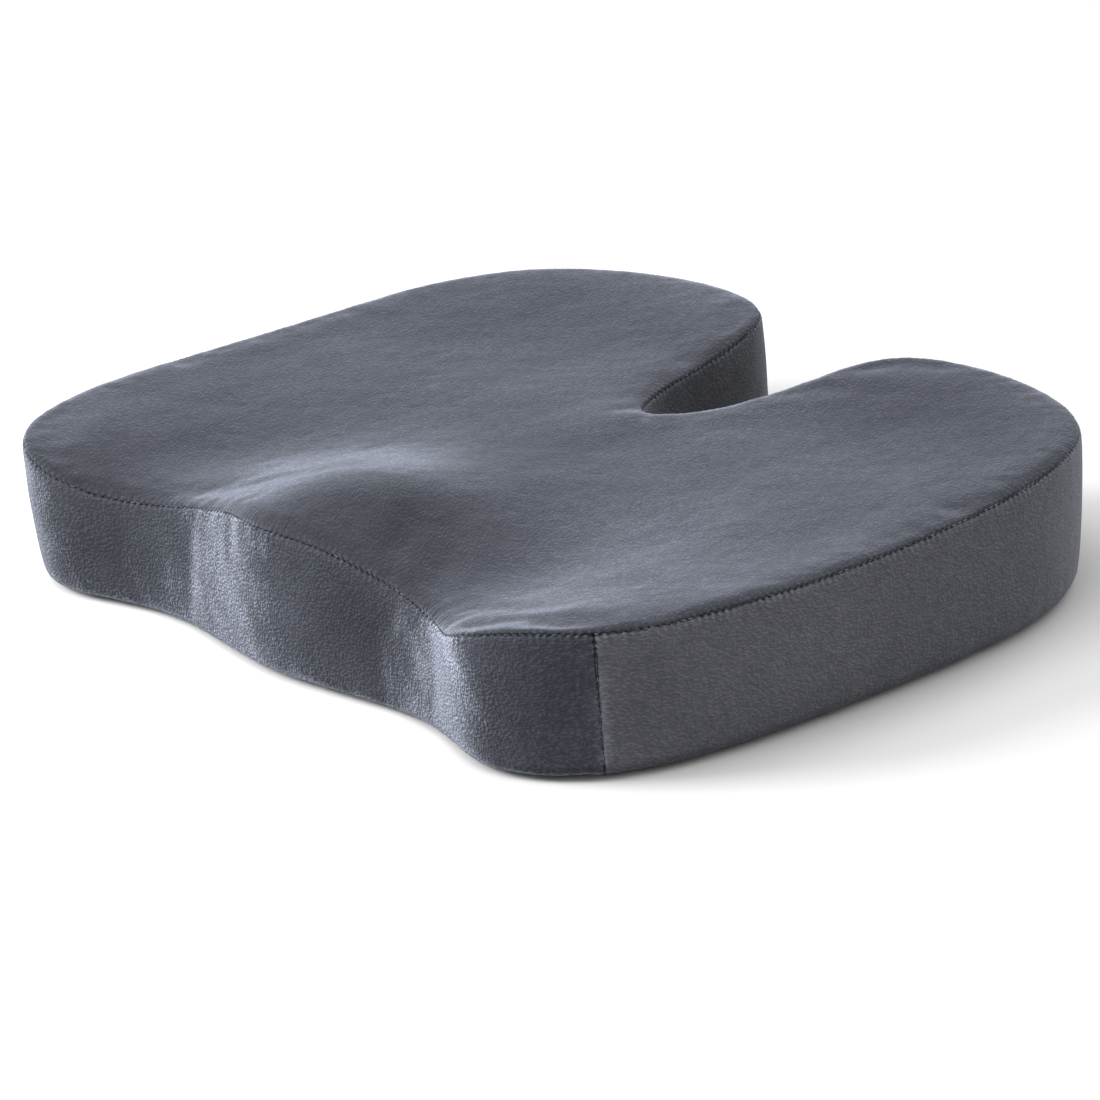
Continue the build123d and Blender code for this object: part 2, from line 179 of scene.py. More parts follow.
class Outline:
    """The outline at given distances along it."""

    def __init__(self, arc):
        values, self.normal = plan_at(np.interp(np.mod(arc, PERIMETER), FINE_ARC, FINE_T))
        self.arc = arc
        self.x, self.y, self.seam_z, self.lean = values.T

    def offset(self, out):
        """x and y moved outward, with y from Y_CENTRE."""
        return self.x + self.normal[:, 0] * out, self.y + self.normal[:, 1] * out

    def top(self, out):
        return top_height(*self.offset(out))

    def points(self, out, z):
        """Points in the part's frame."""
        x, y = self.offset(out)
        return np.stack(np.broadcast_arrays(x, y + Y_CENTRE, z), axis=-1)

    def roll_over(self):
        """How far the top's edge drops to the seam, and how wide it rolls over."""
        drop = np.maximum(self.top(self.lean) - self.seam_z, 0.6)
        return drop, np.clip(4.5 + (drop - 1.5) * 6.0, 3.5, 9.0)


def arc_of(x, y):
    return float(FINE_ARC[np.argmin(np.hypot(FINE[:, 0] - x, FINE[:, 1] - y))])


def arc_gap(arc, seam):
    """Distance from a seam, the short way round."""
    return np.abs((arc - seam + PERIMETER / 2) % PERIMETER - PERIMETER / 2)


RIGHT_SEAM = arc_of(CORNER_X, CORNER_Y)
REAR_SEAM = arc_of(*STATIONS[-1, :2])
LEFT_SEAM = arc_of(-CORNER_X, CORNER_Y)
SEAMS = [RIGHT_SEAM, REAR_SEAM, LEFT_SEAM]


# ------------------------------------------------------------- smooth noise
class Wave:
    """Smooth noise along the perimeter: a few sines with whole periods."""

    def __init__(self, seed, shortest, longest, count):
        rng = np.random.default_rng(seed)
        fewest, most = int(PERIMETER / longest), int(PERIMETER / shortest)
        self.periods = rng.integers(fewest, most + 1, count)
        self.phases = rng.uniform(0, 2 * math.pi, count)
        self.sizes = rng.uniform(0.5, 1.0, count)
        self.sizes /= math.sqrt((self.sizes ** 2).sum() / 2)

    def __call__(self, arc):
        total = np.zeros_like(arc)
        for periods, phase, size in zip(self.periods, self.phases, self.sizes):
            total += size * np.sin(2 * math.pi * periods * arc / PERIMETER + phase)
        return total


class Field:
    """Smooth noise over the plan: a few plane waves."""

    def __init__(self, seed, shortest, longest, count):
        rng = np.random.default_rng(seed)
        angle = rng.uniform(0, 2 * math.pi, count)
        rate = 2 * math.pi / rng.uniform(shortest, longest, count)
        self.rates_x, self.rates_y = rate * np.cos(angle), rate * np.sin(angle)
        self.phases = rng.uniform(0, 2 * math.pi, count)
        self.size = math.sqrt(2.0 / count)

    def __call__(self, x, y):
        total = np.zeros_like(x)
        for rate_x, rate_y, phase in zip(self.rates_x, self.rates_y, self.phases):
            total += self.size * np.sin(rate_x * x + rate_y * y + phase)
        return total


TOP_STITCHES = round(PERIMETER / 3.2)
PITCH = PERIMETER / TOP_STITCHES        # stitch length round the top seam
pucker_phase = Wave(seed=11, shortest=40, longest=200, count=8)
pucker_size = Wave(seed=12, shortest=18, longest=90, count=14)
tug = Wave(seed=13, shortest=9, longest=24, count=40)
tug_wall = Wave(seed=14, shortest=12, longest=34, count=40)
undulate = Field(seed=21, shortest=26, longest=80, count=26)
lumps = Field(seed=22, shortest=7, longest=16, count=60)
quilt = Field(seed=41, shortest=18, longest=60, count=24)


def relief(x, y):
    """Gentle unevenness of the top face."""
    return 0.12 * undulate(x, y) + 0.045 * lumps(x, y)


def puckers(arc):
    """Gathers of the cloth between the stitches of the top seam."""
    phase = 2 * math.pi * arc / PITCH + 1.3 * pucker_phase(arc)
    shape = 0.62 * np.cos(phase) + 0.26 * np.cos(2 * phase)
    return shape * (1.0 + 0.35 * np.clip(pucker_size(arc), -1.5, 1.5))


def side_puckers(z):
    return np.cos(2 * math.pi * z / SIDE_PITCH + 0.7)


def smoothstep(t):
    t = np.clip(t, 0, 1)
    return t * t * (3 - 2 * t)


def fading(distance, reach, power=1.0):
    return np.exp(-(distance / reach) ** power)


def bulge(share):
    """Swell of the wall at a share of its height."""
    return 1.1 * np.sin(math.pi * share) ** 0.8


# ------------------------------------------------------------------- shells
def foot_roll(turn, depth=0.0):
    """Inset and height on the foot roll, depth under the skin."""
    inset = FOOT_R * (1 - math.sin(turn)) + depth * math.sin(turn)
    return inset, FOOT_Z + FOOT_R * (1 - math.cos(turn)) + depth * math.cos(turn)


def wall_profile(outline):
    """Rows from the underside seam up to the top seam: how far out, how high,
    distance to the nearest seam, and the phase of its stitches."""
    seam_z = outline.seam_z
    wall = np.maximum(seam_z - FOOT_TOP, 1)
    rows = [foot_roll(turn) for turn in np.radians([0, 6, 14, 24, 36, 50, 66, 82])]
    rows += [(0.0, FOOT_TOP + wall * share) for share in np.linspace(0.02, 0.77, 15)]
    rows += [(0.0, seam_z - below) for below in
             (9.0, 7.4, 6.0, 4.9, 4.0, 3.2, 2.5, 1.9, 1.4, 0.95, 0.55, 0.2, 0.0)]
    inset = np.array([row[0] for row in rows])[:, None]
    z = np.array([np.broadcast_to(row[1], seam_z.shape) for row in rows])
    z = np.maximum.accumulate(z, axis=0)
    below = seam_z - z
    above = z - FOOT_Z
    out = outline.lean * z / seam_z - inset
    # the wall swells between its two seams
    out += bulge(np.clip((z - FOOT_TOP) / (seam_z - FOOT_TOP), 0, 1)) * (z > FOOT_TOP)
    # it turns in to the top seam, and is gathered by its stitches
    out -= SEAM_DEPTH * fading(below, reach=0.95, power=1.5)
    pucker = puckers(outline.arc + 0.5 * PITCH)
    gather = fading(below, reach=2.4) * (1 - 0.45 * fading(below, reach=0.4, power=2))
    out += 0.15 * gather * pucker
    out += 0.07 * fading(below, reach=12.0) * tug_wall(outline.arc) * smoothstep(below / 2.0)
    # it is tugged and turned in at the underside seam
    out += 0.05 * fading(above, reach=9.0) * tug(outline.arc)
    out -= 0.9 * fading(above, reach=0.9, power=2)
    distance, tick = below, np.broadcast_to(pucker, below.shape)
    for seam in SEAMS:
        # a groove at each upright seam, with ticks and a soft welt beside it
        gap = arc_gap(outline.arc, seam)
        out -= 1.05 * fading(gap, reach=0.75, power=1.5)
        ticks = 0.16 * fading(np.maximum(gap - 0.5, 0), reach=1.8) * (gap < 12)
        out += ticks * side_puckers(z)
        out += 0.45 * fading(gap - 3.2, reach=2.4, power=2)
        tick = np.where((gap < distance) & (gap < 8), side_puckers(z), tick)
        distance = np.minimum(distance, gap)
    return out, z, distance, tick


def border_profile(outline):
    """Rows from the top seam inwards over the rolled edge: how far out, how high,
    inset from the seam, and distance along the skin."""
    drop, width = outline.roll_over()
    inset, fall = [], []
    for turn in np.radians([0, 3, 7, 12, 18, 25, 33, 42, 52, 62, 72, 81, 90]):
        inset.append(width * (1 - math.cos(turn)))
        fall.append(drop * (0.55 * math.cos(turn) ** 2 + 0.45 * (1 - math.sin(turn))))
    for extra in (0.7, 1.5, 2.5, 3.8, 5.4):
        inset.append(width + extra)
        fall.append(np.zeros_like(width))
    inset, fall = np.array(inset), np.array(fall)
    out = outline.lean - inset
    z = outline.top(out) - fall
    step = np.hypot(np.diff(inset, axis=0), np.diff(z, axis=0))
    run = np.vstack([np.zeros_like(width)[None], np.cumsum(step, axis=0)])
    turn_in = fading(run, reach=0.95, power=1.5)
    gather = fading(run, reach=3.0) * (1 - 0.5 * fading(run, reach=0.5, power=2))
    swell = 0.17 * gather * puckers(outline.arc)
    swell += 0.04 * fading(run, reach=10.0) * tug(outline.arc) * smoothstep(run / 2.0)
    # the swell points outward at the seam and upward on the top
    side = np.clip(fall / drop, 0, 1)
    out = out - SEAM_DEPTH * turn_in + swell * np.sqrt(side)
    z = z + swell * np.sqrt(1 - side * 0.8) - 0.25 * turn_in
    return out, z, inset, run


# ------------------------------------------------------------- mesh helpers
def strip_faces(rows, cols, closed, offset=0, flip=False):
    """Quads of a grid stored row by row."""
    row = np.arange(rows - 1)[:, None] * cols
    col = np.arange(cols if closed else cols - 1)[None]
    after = (col + 1) % cols
    corners = [row + col, row + after, row + cols + after, row + cols + col]
    quads = np.stack(corners, axis=-1).reshape(-1, 4)
    return (quads[:, ::-1] if flip else quads) + offset


def cap_faces(tris, ring_index, inner_index, flip=False):
    """Triangles over a ring and inner points, by their places in the mesh."""
    faces = np.array([*ring_index, *inner_index])[tris]
    return (faces[:, ::-1] if flip else faces).tolist()


def repeat_faces(faces, count, size):
    """The faces of count copies of a piece with size points."""
    return [[i + copy * size for i in face] for copy in range(count) for face in faces]


def add_mesh(name, points, faces, **values):
    """A smooth mesh from millimetres, with per-point values."""
    mesh = bpy.data.meshes.new(name)
    mesh.from_pydata((np.asarray(points) / 1000.0).tolist(), [], faces)
    mesh.update()
    mesh.validate()
    for key, value in values.items():
        attribute = mesh.attributes.new(key, "FLOAT", "POINT")
        attribute.data.foreach_set("value", np.asarray(value, np.float32).ravel())
    mesh.polygons.foreach_set("use_smooth", [True] * len(mesh.polygons))
    ob = bpy.data.objects.new(name, mesh)
    bpy.context.scene.collection.objects.link(ob)
    return ob


def add_closed(name, points, faces, **values):
    """A closed mesh with all its faces turned outward."""
    ob = add_mesh(name, points, faces, **values)
    bm = bmesh.new()
    bm.from_mesh(ob.data)
    bmesh.ops.recalc_face_normals(bm, faces=bm.faces)
    bm.to_mesh(ob.data)
    bm.free()
    ob.data.update()
    return ob


def add_sheet(name, plan, low_z, thickness, faces, rim):
    """A sheet over 2D points: faces on both sides, joined along its rim."""
    count = len(plan)
    rim = np.asarray(rim)
    ahead = np.roll(rim, -1)
    points = np.vstack([np.c_[plan, low_z], np.c_[plan, low_z + thickness]])
    sides = np.stack([rim, ahead, count + ahead, count + rim], axis=-1)
    faces = faces[:, ::-1].tolist() + (faces + count).tolist() + sides.tolist()
    return add_closed(name, points, faces)


def vertex_points(mesh):
    """A mesh's vertices in millimetres."""
    flat = np.zeros(len(mesh.vertices) * 3)
    mesh.vertices.foreach_get("co", flat)
    return flat.reshape(-1, 3) * 1000


def search_tree(points):
    """A search tree over 2D or 3D points; 2D ones lie at z = 0."""
    tree = kdtree.KDTree(len(points))
    for i, point in enumerate(points):
        tree.insert((*point, 0.0)[:3], i)
    tree.balance()
    return tree


def inside(ring, points):
    """Which 2D points lie inside a closed ring."""
    start, end = ring, np.roll(ring, -1, 0)
    step = end - start
    odd = np.zeros(len(points), bool)
    for first in range(0, len(points), 4000):
        px, py = points[first:first + 4000, 0:1], points[first:first + 4000, 1:2]
        cross = (start[None, :, 1] > py) != (end[None, :, 1] > py)
        # edges level in y divide by zero, and are never counted as crossed
        with np.errstate(divide="ignore", invalid="ignore"):
            x = start[None, :, 0] + (py - start[None, :, 1]) * step[None, :, 0] / step[None, :, 1]
        odd[first:first + 4000] = ((cross & (px < x)).sum(1) % 2) == 1
    return odd


def clear_of(others, points, margin):
    """Which 2D points lie further than margin from all the others."""
    tree = search_tree(others)
    return np.array([tree.find((*point, 0.0))[2] > margin for point in points])


def lattice(ring, step_x, step_y):
    """Staggered grid over a ring's bounds."""
    low, high = ring.min(0), ring.max(0)
    x, y = np.meshgrid(np.arange(low[0], high[0], step_x), np.arange(low[1], high[1], step_y))
    x = x + (np.arange(len(x)) % 2)[:, None] * step_x / 2
    return np.c_[x.ravel(), y.ravel()]


def interior_points(ring, step, margin, jitter=0.0):
    """Grid points inside a ring and clear of it."""
    points = lattice(ring, step, step * 0.866)
    if jitter:
        points = points + np.random.default_rng(5).uniform(-jitter, jitter, points.shape) * step
    points = points[inside(ring, points)]
    return points[clear_of(ring, points, margin)]


def line_points(x, y):
    return np.stack(np.broadcast_arrays(x, y), axis=-1)


def triangulate(ring, points):
    """Constrained triangles over the ring's inside; ring first, then points."""
    count = len(ring)
    plan = np.vstack([ring, points])
    edges = [(i, (i + 1) % count) for i in range(count)]
    _, _, faces, origins, _, _ = geometry.delaunay_2d_cdt(
        [Vector(point.tolist()) for point in plan], edges, [], 1, 1e-7)
    # a point made where edges cross has no original, and falls back on the last one
    original = np.array([origin[0] if origin else -1 for origin in origins])
    tris = original[np.array(faces)]
    first, second, third = (plan[tris[:, k]] for k in range(3))
    to_second, to_third = second - first, third - first
    area = to_second[:, 0] * to_third[:, 1] - to_second[:, 1] * to_third[:, 0]
    tris[area < 0] = tris[area < 0][:, ::-1]
    return tris[np.abs(area) > 1e-9]


# ----------------------------------------------------------- cloth inflation
def coarse_skin():
    """A closed skin of the cushion at about 5 mm, and its pinned points."""
    arc = np.linspace(0, PERIMETER, int(PERIMETER / 5.0), endpoint=False)
    for seam in SEAMS:
        arc[np.argmin(np.abs(arc - seam))] = seam
    outline = Outline(arc)
    seam_z, lean = outline.seam_z, outline.lean
    drop, width = outline.roll_over()
    rows = []
    for turn in np.radians([0, 30, 60]):
        inset, z = foot_roll(turn)
        rows.append(outline.points(-inset, z))
    for share in np.linspace(0, 1, 11):
        z = FOOT_TOP + (seam_z - FOOT_TOP) * share
        rows.append(outline.points(lean * z / seam_z, z))
    seam_row = len(rows) - 1
    for turn in np.radians([40, 90]):
        out = lean - width * (1 - math.cos(turn))
        rows.append(outline.points(out, outline.top(out) - drop * (1 - math.sin(turn))))
    out = lean - width - 4.5
    rows.append(outline.points(out, outline.top(out)))

    cols = len(arc)
    points = np.vstack(rows)
    faces = strip_faces(len(rows), cols, closed=True).tolist()
    top_ring, foot_ring = points[-cols:, :2], points[:cols, :2]
    top = interior_points(top_ring, step=5.2, margin=4.0, jitter=0.12)
    top_start = len(points)
    foot_start = top_start + len(top)
    faces += cap_faces(triangulate(top_ring, top), range(top_start - cols, top_start),
                       range(top_start, foot_start))
    foot = interior_points(foot_ring, step=9.0, margin=6.0, jitter=0.12)
    end = foot_start + len(foot)
    faces += cap_faces(triangulate(foot_ring, foot), range(cols), range(foot_start, end),
                       flip=True)
    points = np.vstack([points, np.c_[top, top_at(top)], np.c_[foot, np.full(len(foot), FOOT_Z)]])

    # the underside and all the seams are pinned
    pins = set(range(cols)) | set(range(foot_start, end))
    pins |= set(range(seam_row * cols, (seam_row + 1) * cols))
    for seam in SEAMS:
        col = int(np.argmin(arc_gap(arc, seam)))
        pins |= {row * cols + col for row in range(seam_row + 1)}
    return points, faces, sorted(pins)


def local_mean(tree, values, point, count, spread, floor=0.0):
    """Mean of the values at the nearest points, weighted by closeness."""
    near = tree.find_n(point, count)
    weight = np.exp(-np.array([gap for _, _, gap in near]) ** 2 / spread) + floor
    return (values[[i for _, i, _ in near]] * weight[:, None]).sum(0) / weight.sum()


def inflate():
    """Swells the coarse skin with cloth; returns a search tree of it and its folds."""
    points, faces, pins = coarse_skin()
    ob = add_mesh("swell", points, faces)
    group = ob.vertex_groups.new(name="pins")
    group.add(pins, 1.0, "REPLACE")
    modifier = ob.modifiers.new("Cloth", "CLOTH")
    cloth = modifier.settings
    cloth.quality = 8
    cloth.mass = 0.3
    cloth.tension_stiffness = cloth.compression_stiffness = 9.0
    cloth.shear_stiffness = 4.0
    cloth.bending_stiffness = 0.4
    cloth.use_pressure = True
    cloth.uniform_pressure_force = 4.0
    cloth.vertex_group_mass = "pins"
    cloth.effector_weights.gravity = 0.0
    cloth.shrink_min = -0.015
    modifier.collision_settings.use_self_collision = False
    scene = bpy.context.scene
    for number in range(1, 21):
        scene.frame_set(number)
    evaluated = ob.evaluated_get(bpy.context.evaluated_depsgraph_get())
    move = vertex_points(evaluated.data) - points
    scene.frame_set(1)
    bpy.data.objects.remove(ob)
    size = np.linalg.norm(move, axis=1)
    largest = 3.0
    move *= (largest * np.tanh(size / largest) / np.maximum(size, 1e-9))[:, None]
    # the form is right already, so only the folds are kept, not the swell
    tree = search_tree(points)
    free = np.ones(len(points), bool)
    free[pins] = False
    mean = np.zeros_like(move)
    for i in np.nonzero(free)[0]:
        mean[i] = local_mean(tree, move, points[i], count=60, spread=2 * 14.0 ** 2)
    return tree, np.where(free[:, None], move - 0.7 * mean, 0.0)


FOLDS = inflate()


def folded(points, share):
    """Points moved with a share of the cloth's folds."""
    if FOLDS is None:
        return points
    tree, move = FOLDS
    flat = points.reshape(-1, 3)
    moved = flat.copy()
    for i, point in enumerate(flat):
        moved[i] += share * local_mean(tree, move, point, count=10, spread=26.0, floor=1e-6)
    return moved.reshape(points.shape)


# ---------------------------------------------------------------- the cover
def graded(start, end):
    """Samples from start to end, finer near both ends."""
    fine, coarse, reach = 0.4, 0.66, 6.0
    distance = np.linspace(0, 1, 4001) * (end - start)
    near = np.minimum(distance, (end - start) - distance)
    density = 1 / (fine + (coarse - fine) * smoothstep(near / reach))
    pieces = (density[1:] + density[:-1]) / 2 * np.diff(distance)
    total = np.concatenate([[0], np.cumsum(pieces)])
    count = int(round(total[-1]))
    return start + np.interp(np.linspace(0, total[-1], count + 1), total, distance)


BAND_GAP = 0.12        # from the end of a band to its upright seam
BAND_ARCS = {
    "front": graded(LEFT_SEAM + BAND_GAP, RIGHT_SEAM + PERIMETER - BAND_GAP),
    "right": graded(RIGHT_SEAM + BAND_GAP, REAR_SEAM - BAND_GAP),
    "left": graded(REAR_SEAM + BAND_GAP, LEFT_SEAM - BAND_GAP),
}
RING_ARC = np.sort(np.mod(np.concatenate([*BAND_ARCS.values(), SEAMS]), PERIMETER))


def band(side):
    """One wall of the cover: its skin, closed by an inner face."""
    outline = Outline(BAND_ARCS[side])
    seam_z = outline.seam_z
    out, z, distance, tick = wall_profile(outline)
    outer = folded(outline.points(out, z), share=0.45)
    inner = []
    for share in (1.0, 0.93, 0.75, 0.5, 0.25):
        z = FOOT_TOP + (seam_z - 1.2 - FOOT_TOP) * share
        inner.append(outline.points(outline.lean * z / seam_z - 2.7, z))
    for turn in np.radians([90, 60, 30, 0]):
        inset, z = foot_roll(turn, depth=2.2)
        inner.append(outline.points(-inset, z))
    grid = np.concatenate([outer, np.array(inner)])
    rows, cols = grid.shape[:2]
    last = (rows - 1) * cols
    faces = strip_faces(rows, cols, closed=False).tolist()
    faces += [[last + col, last + col + 1, col + 1, col] for col in range(cols - 1)]
    faces.append([row * cols for row in range(rows)])
    faces.append([row * cols + cols - 1 for row in range(rows)][::-1])
    pad = np.full((len(inner), cols), OPEN_CLOTH)
    return add_closed(f"{side}_band_pile", grid.reshape(-1, 3), faces,
                      seam_mm=np.vstack([distance, pad]), seam_tick=np.vstack([tick, pad * 0]))


def border_fill(outline, out, ring):
    """Points just inside the border, fine at first and then coarser."""
    rows = []
    for extra, every in ((1.0, 2), (2.4, 3), (4.6, 4)):
        pick = np.arange(every // 2, len(out), every)
        rows.append(Outline(outline.arc[pick]).points(out[pick] - extra, 0.0)[:, :2])
    points = np.vstack(rows)
    points = points[inside(ring, points)]
    points = points[clear_of(ring, points, 0.7)]
    # thin out where the border folds onto itself round the notch
    tree = search_tree(points)
    good = np.ones(len(points), bool)
    for i, point in enumerate(points):
        if good[i]:
            for _, j, _ in tree.find_range((*point, 0.0), 0.8):
                if j > i:
                    good[j] = False
    return points[good]


def top_panel():
    """The top of the cover: rolled border, filled middle and an underside."""
    outline = Outline(RING_ARC)
    out, z, inset, run = border_profile(outline)
    rows, cols = out.shape
    border = outline.points(out, z)
    border[..., 2] += smoothstep(inset / 6.0) * relief(border[..., 0], border[..., 1])
    ring = border[-1, :, :2]
    inner = border_fill(outline, out[-1], ring)
    grid = interior_points(ring, step=3.4, margin=7.0)
    inner = np.vstack([inner, grid[clear_of(inner, grid, 1.8)]])
    tris = triangulate(ring, inner)
    inner_z = top_at(inner)
    skin = np.vstack([border.reshape(-1, 3), np.c_[inner, inner_z + relief(*inner.T)]])
    skin = folded(skin, share=0.7)

    # the underside follows a few of the border's rows, pushed in and down
    knots = [0, 6, 11, rows - 1]
    under = np.vstack([
        outline.points(out[row] - np.interp(row, knots, [2.0, 1.6, 0.4, 0.0]),
                       z[row] - np.interp(row, knots, [0.6, 1.2, 1.8, 1.9]))
        for row in (2, 6, 11, rows - 1)])
    points = np.vstack([skin, under, np.c_[inner, inner_z - 1.9]])

    border_size, base = rows * cols, len(skin)
    under_end = base + len(under)
    faces = strip_faces(rows, cols, closed=True).tolist()
    faces += cap_faces(tris, range(border_size - cols, border_size), range(border_size, base))
    faces += strip_faces(len(under) // cols, cols, closed=True, offset=base, flip=True).tolist()
    col = np.arange(cols)
    after = (col + 1) % cols
    faces += np.stack([after, col, base + col, base + after], axis=-1).tolist()
    faces += cap_faces(tris, range(under_end - cols, under_end),
                       range(under_end, len(points)), flip=True)
    distance = np.full(len(points), OPEN_CLOTH)
    distance[:run.size] = run.ravel()
    tick = np.zeros(len(points))
    tick[:run.size] = np.broadcast_to(puckers(outline.arc), run.shape).ravel()
    return add_closed("top_panel_pile", points, faces, seam_mm=distance, seam_tick=tick)


# ------------------------------------------------------------------ threads
def capsule():
    """A unit capsule along x: its points and faces."""
    sides = 6
    rings = [(-0.9, 0.62), (-0.55, 0.95), (0.0, 1.0), (0.55, 0.95), (0.9, 0.62)]
    points = [(-1.0, 0, 0)]
    for x, radius in rings:
        for k in range(sides):
            angle = 2 * math.pi * k / sides
            points.append((x, radius * math.cos(angle), radius * math.sin(angle)))
    points.append((1.0, 0, 0))
    last = 1 + (len(rings) - 1) * sides
    faces = []
    for k in range(sides):
        after = (k + 1) % sides
        faces.append([0, 1 + after, 1 + k])
        for low in range(1, last, sides):
            high = low + sides
            faces.append([low + k, low + after, high + after, high + k])
        faces.append([last + k, last + after, len(points) - 1])
    return np.array(points), faces


def stitches(name, centre, along, up, half, radius, sink=0.25):
    """Arched stitches: each lies along `along`, dipping into the cloth at its ends."""
    template, faces = capsule()
    centre = np.asarray(centre, float)
    along, up = (np.broadcast_to(np.asarray(axis, float), centre.shape) for axis in (along, up))
    along = along / np.linalg.norm(along, axis=1)[:, None]
    up = up - (up * along).sum(1)[:, None] * along
    up = up / np.linalg.norm(up, axis=1)[:, None]
    side = np.cross(up, along)
    x, y, z = (template[None, :, k:k + 1] for k in range(3))
    points = (centre[:, None] + along[:, None] * (x * half) + side[:, None] * (y * radius)
              + up[:, None] * (z * radius - sink * x ** 2))
    return add_mesh(name, points.reshape(-1, 3), repeat_faces(faces, len(centre), len(template)))


def top_thread():
    arc = (np.arange(TOP_STITCHES) + 0.5) * PITCH
    arc = arc + 0.12 * np.random.default_rng(3).standard_normal(TOP_STITCHES)

    def path(arc):
        outline = Outline(arc)
        return outline.points(outline.lean - 0.80, outline.seam_z - 0.05)
    up = np.c_[Outline(arc).normal, np.full(len(arc), 0.35)]
    return stitches("top_seam_stitches", path(arc), path(arc + 0.8) - path(arc - 0.8), up,
                    half=1.2, radius=0.2)


def upright_threads():
    centre, along, up = [], [], []
    for seam in SEAMS:
        outline = Outline(np.array([seam]))
        seam_z, lean = outline.seam_z[0], outline.lean[0]
        normal_x, normal_y = outline.normal[0]
        z = np.arange(FOOT_TOP + 1.5, seam_z - 2.5, SIDE_PITCH)
        out = lean * z / seam_z - 1.0 + bulge(np.clip((z - 7) / (seam_z - 7), 0, 1))
        slope = (normal_x * lean / seam_z, normal_y * lean / seam_z, 1.0)
        centre.append(outline.points(out, z))
        along.append(np.tile(slope, (len(z), 1)))
        up.append(np.tile((normal_x, normal_y, 0.0), (len(z), 1)))
    return stitches("band_seam_stitches", np.vstack(centre), np.vstack(along), np.vstack(up),
                    half=1.15, radius=0.19)


def foot_thread():
    count = round(PERIMETER / 4.0)
    arc = (np.arange(count) + 0.5) * (PERIMETER / count)

    def path(arc):
        return Outline(arc).points(-(FOOT_R + 0.05), FOOT_Z + 0.25)
    return stitches("bottom_seam_stitches", path(arc), path(arc + 0.8) - path(arc - 0.8),
                    (0, 0, -1), half=1.45, radius=0.3)


# ---------------------------------------------------------------- underside
ZIP_Y = -2.0           # middle line of the zip, where the two panels meet
CHANNEL_X = 190.0      # half length of the channel round the zip
CHANNEL_Y = 15.6       # half width of it
SLOT_X = 176.0         # half length of the opening over the zip
SLOT_Y = 5.2           # half width of it


def channel_share(x, y, half_x=CHANNEL_X, half_y=CHANNEL_Y):
    """0 outside a channel round the zip, rising to 1 on its flat."""
    return np.clip(np.minimum((half_x - np.abs(x)) / 4.0, (half_y - np.abs(y - ZIP_Y)) / 3.0), 0, 1)


def under_height(x, y):
    share = channel_share(x, y)
    return FOOT_Z + 0.06 * quilt(x, y) * (1 - share) + 5.0 * smoothstep(share)


def panel_ring(side):
    """Rim of one half of the underside: the outline, then back along the zip."""
    arc = np.arange(0, PERIMETER, 1.6)
    plan = Outline(arc).points(-(FOOT_R + 0.35), 0.0)[:, :2]
    line = ZIP_Y + side * 0.35
    right = arc_of(STATIONS[:, 0].max(), line - Y_CENTRE)
    left = PERIMETER - right
    if side < 0:
        edge = np.vstack([plan[arc > left], plan[arc < right]])
    else:
        edge = plan[(arc > right) & (arc < left)]
    edge = edge[(edge[:, 1] - line) * side > 0.5]
    sign = -side
    far = sign * (abs(edge[-1, 0]) + abs(edge[0, 0])) / 2
    spans = ((far, sign * SLOT_X, line),
             (sign * SLOT_X, -sign * SLOT_X, ZIP_Y + side * SLOT_Y),
             (-sign * SLOT_X, -far, line))
    rows = [edge]
    for start, end, y in spans:
        x = np.linspace(start, end, max(2, int(abs(end - start) / 1.6)) + 1)
        # the slight bow keeps the rim's straight runs from being exactly in line
        bow = 0.01 * (1 - ((2 * x - start - end) / (end - start)) ** 2)
        rows.append(line_points(x, y + side * bow))
    ring = np.vstack(rows)
    return ring[np.hypot(*(np.roll(ring, -1, 0) - ring).T) > 0.05]


def bottom_panel(name, side):
    """One half of the underside, from the outline to the zip, with its channel."""
    ring = panel_ring(side)
    # lines of points follow the channel's slopes and its flat
    lines = []
    for inset in (-0.8, 0.0, 0.5, 1.0, 1.5, 2.0, 2.5, 3.0, 3.8):
        half_y = CHANNEL_Y - inset
        half_x = CHANNEL_X - inset * 4 / 3
        lines.append(line_points(np.arange(-half_x, half_x, 3.0), ZIP_Y + side * half_y))
        for end in (-1, 1):
            y = np.arange(0.8, half_y, 2.2)
            lines.append(line_points(end * half_x, ZIP_Y + side * y))
    for y in (7.2, 9.6):
        lines.append(line_points(np.arange(-184, 184, 3.0), ZIP_Y + side * y))
    lines = np.vstack(lines)
    grid = lattice(ring, 4.0, 3.5)
    grid = grid[channel_share(*grid.T) == 0]
    points = np.vstack([grid[clear_of(lines, grid, 1.2)], lines])
    points = points[inside(ring, points)]
    points = points[clear_of(ring, points, 0.7)]
    plan = np.vstack([ring, points])
    return add_sheet(name, plan, under_height(*plan.T), thickness=1.35,
                     faces=triangulate(ring, points), rim=range(len(ring)))


DOT_PITCH = 17.0
DOT_ROW = DOT_PITCH * math.sin(math.radians(60))


def dot_centres(node):
    """Centres of the CAD's dots, read back from its mesh."""
    points = vertex_points(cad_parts[node].data)
    row = np.round((points[:, 1] - ZIP_Y - DOT_ROW / 2) / DOT_ROW).astype(int)
    col = np.round(points[:, 0] / DOT_PITCH - np.where(row % 2 == 0, 0.0, 0.5)).astype(int)
    row, col = np.unique(np.c_[row, col], axis=0).T
    x = (col + np.where(row % 2 == 0, 0.0, 0.5)) * DOT_PITCH
    return np.c_[x, ZIP_Y + DOT_ROW / 2 + row * DOT_ROW, np.zeros(len(x))]


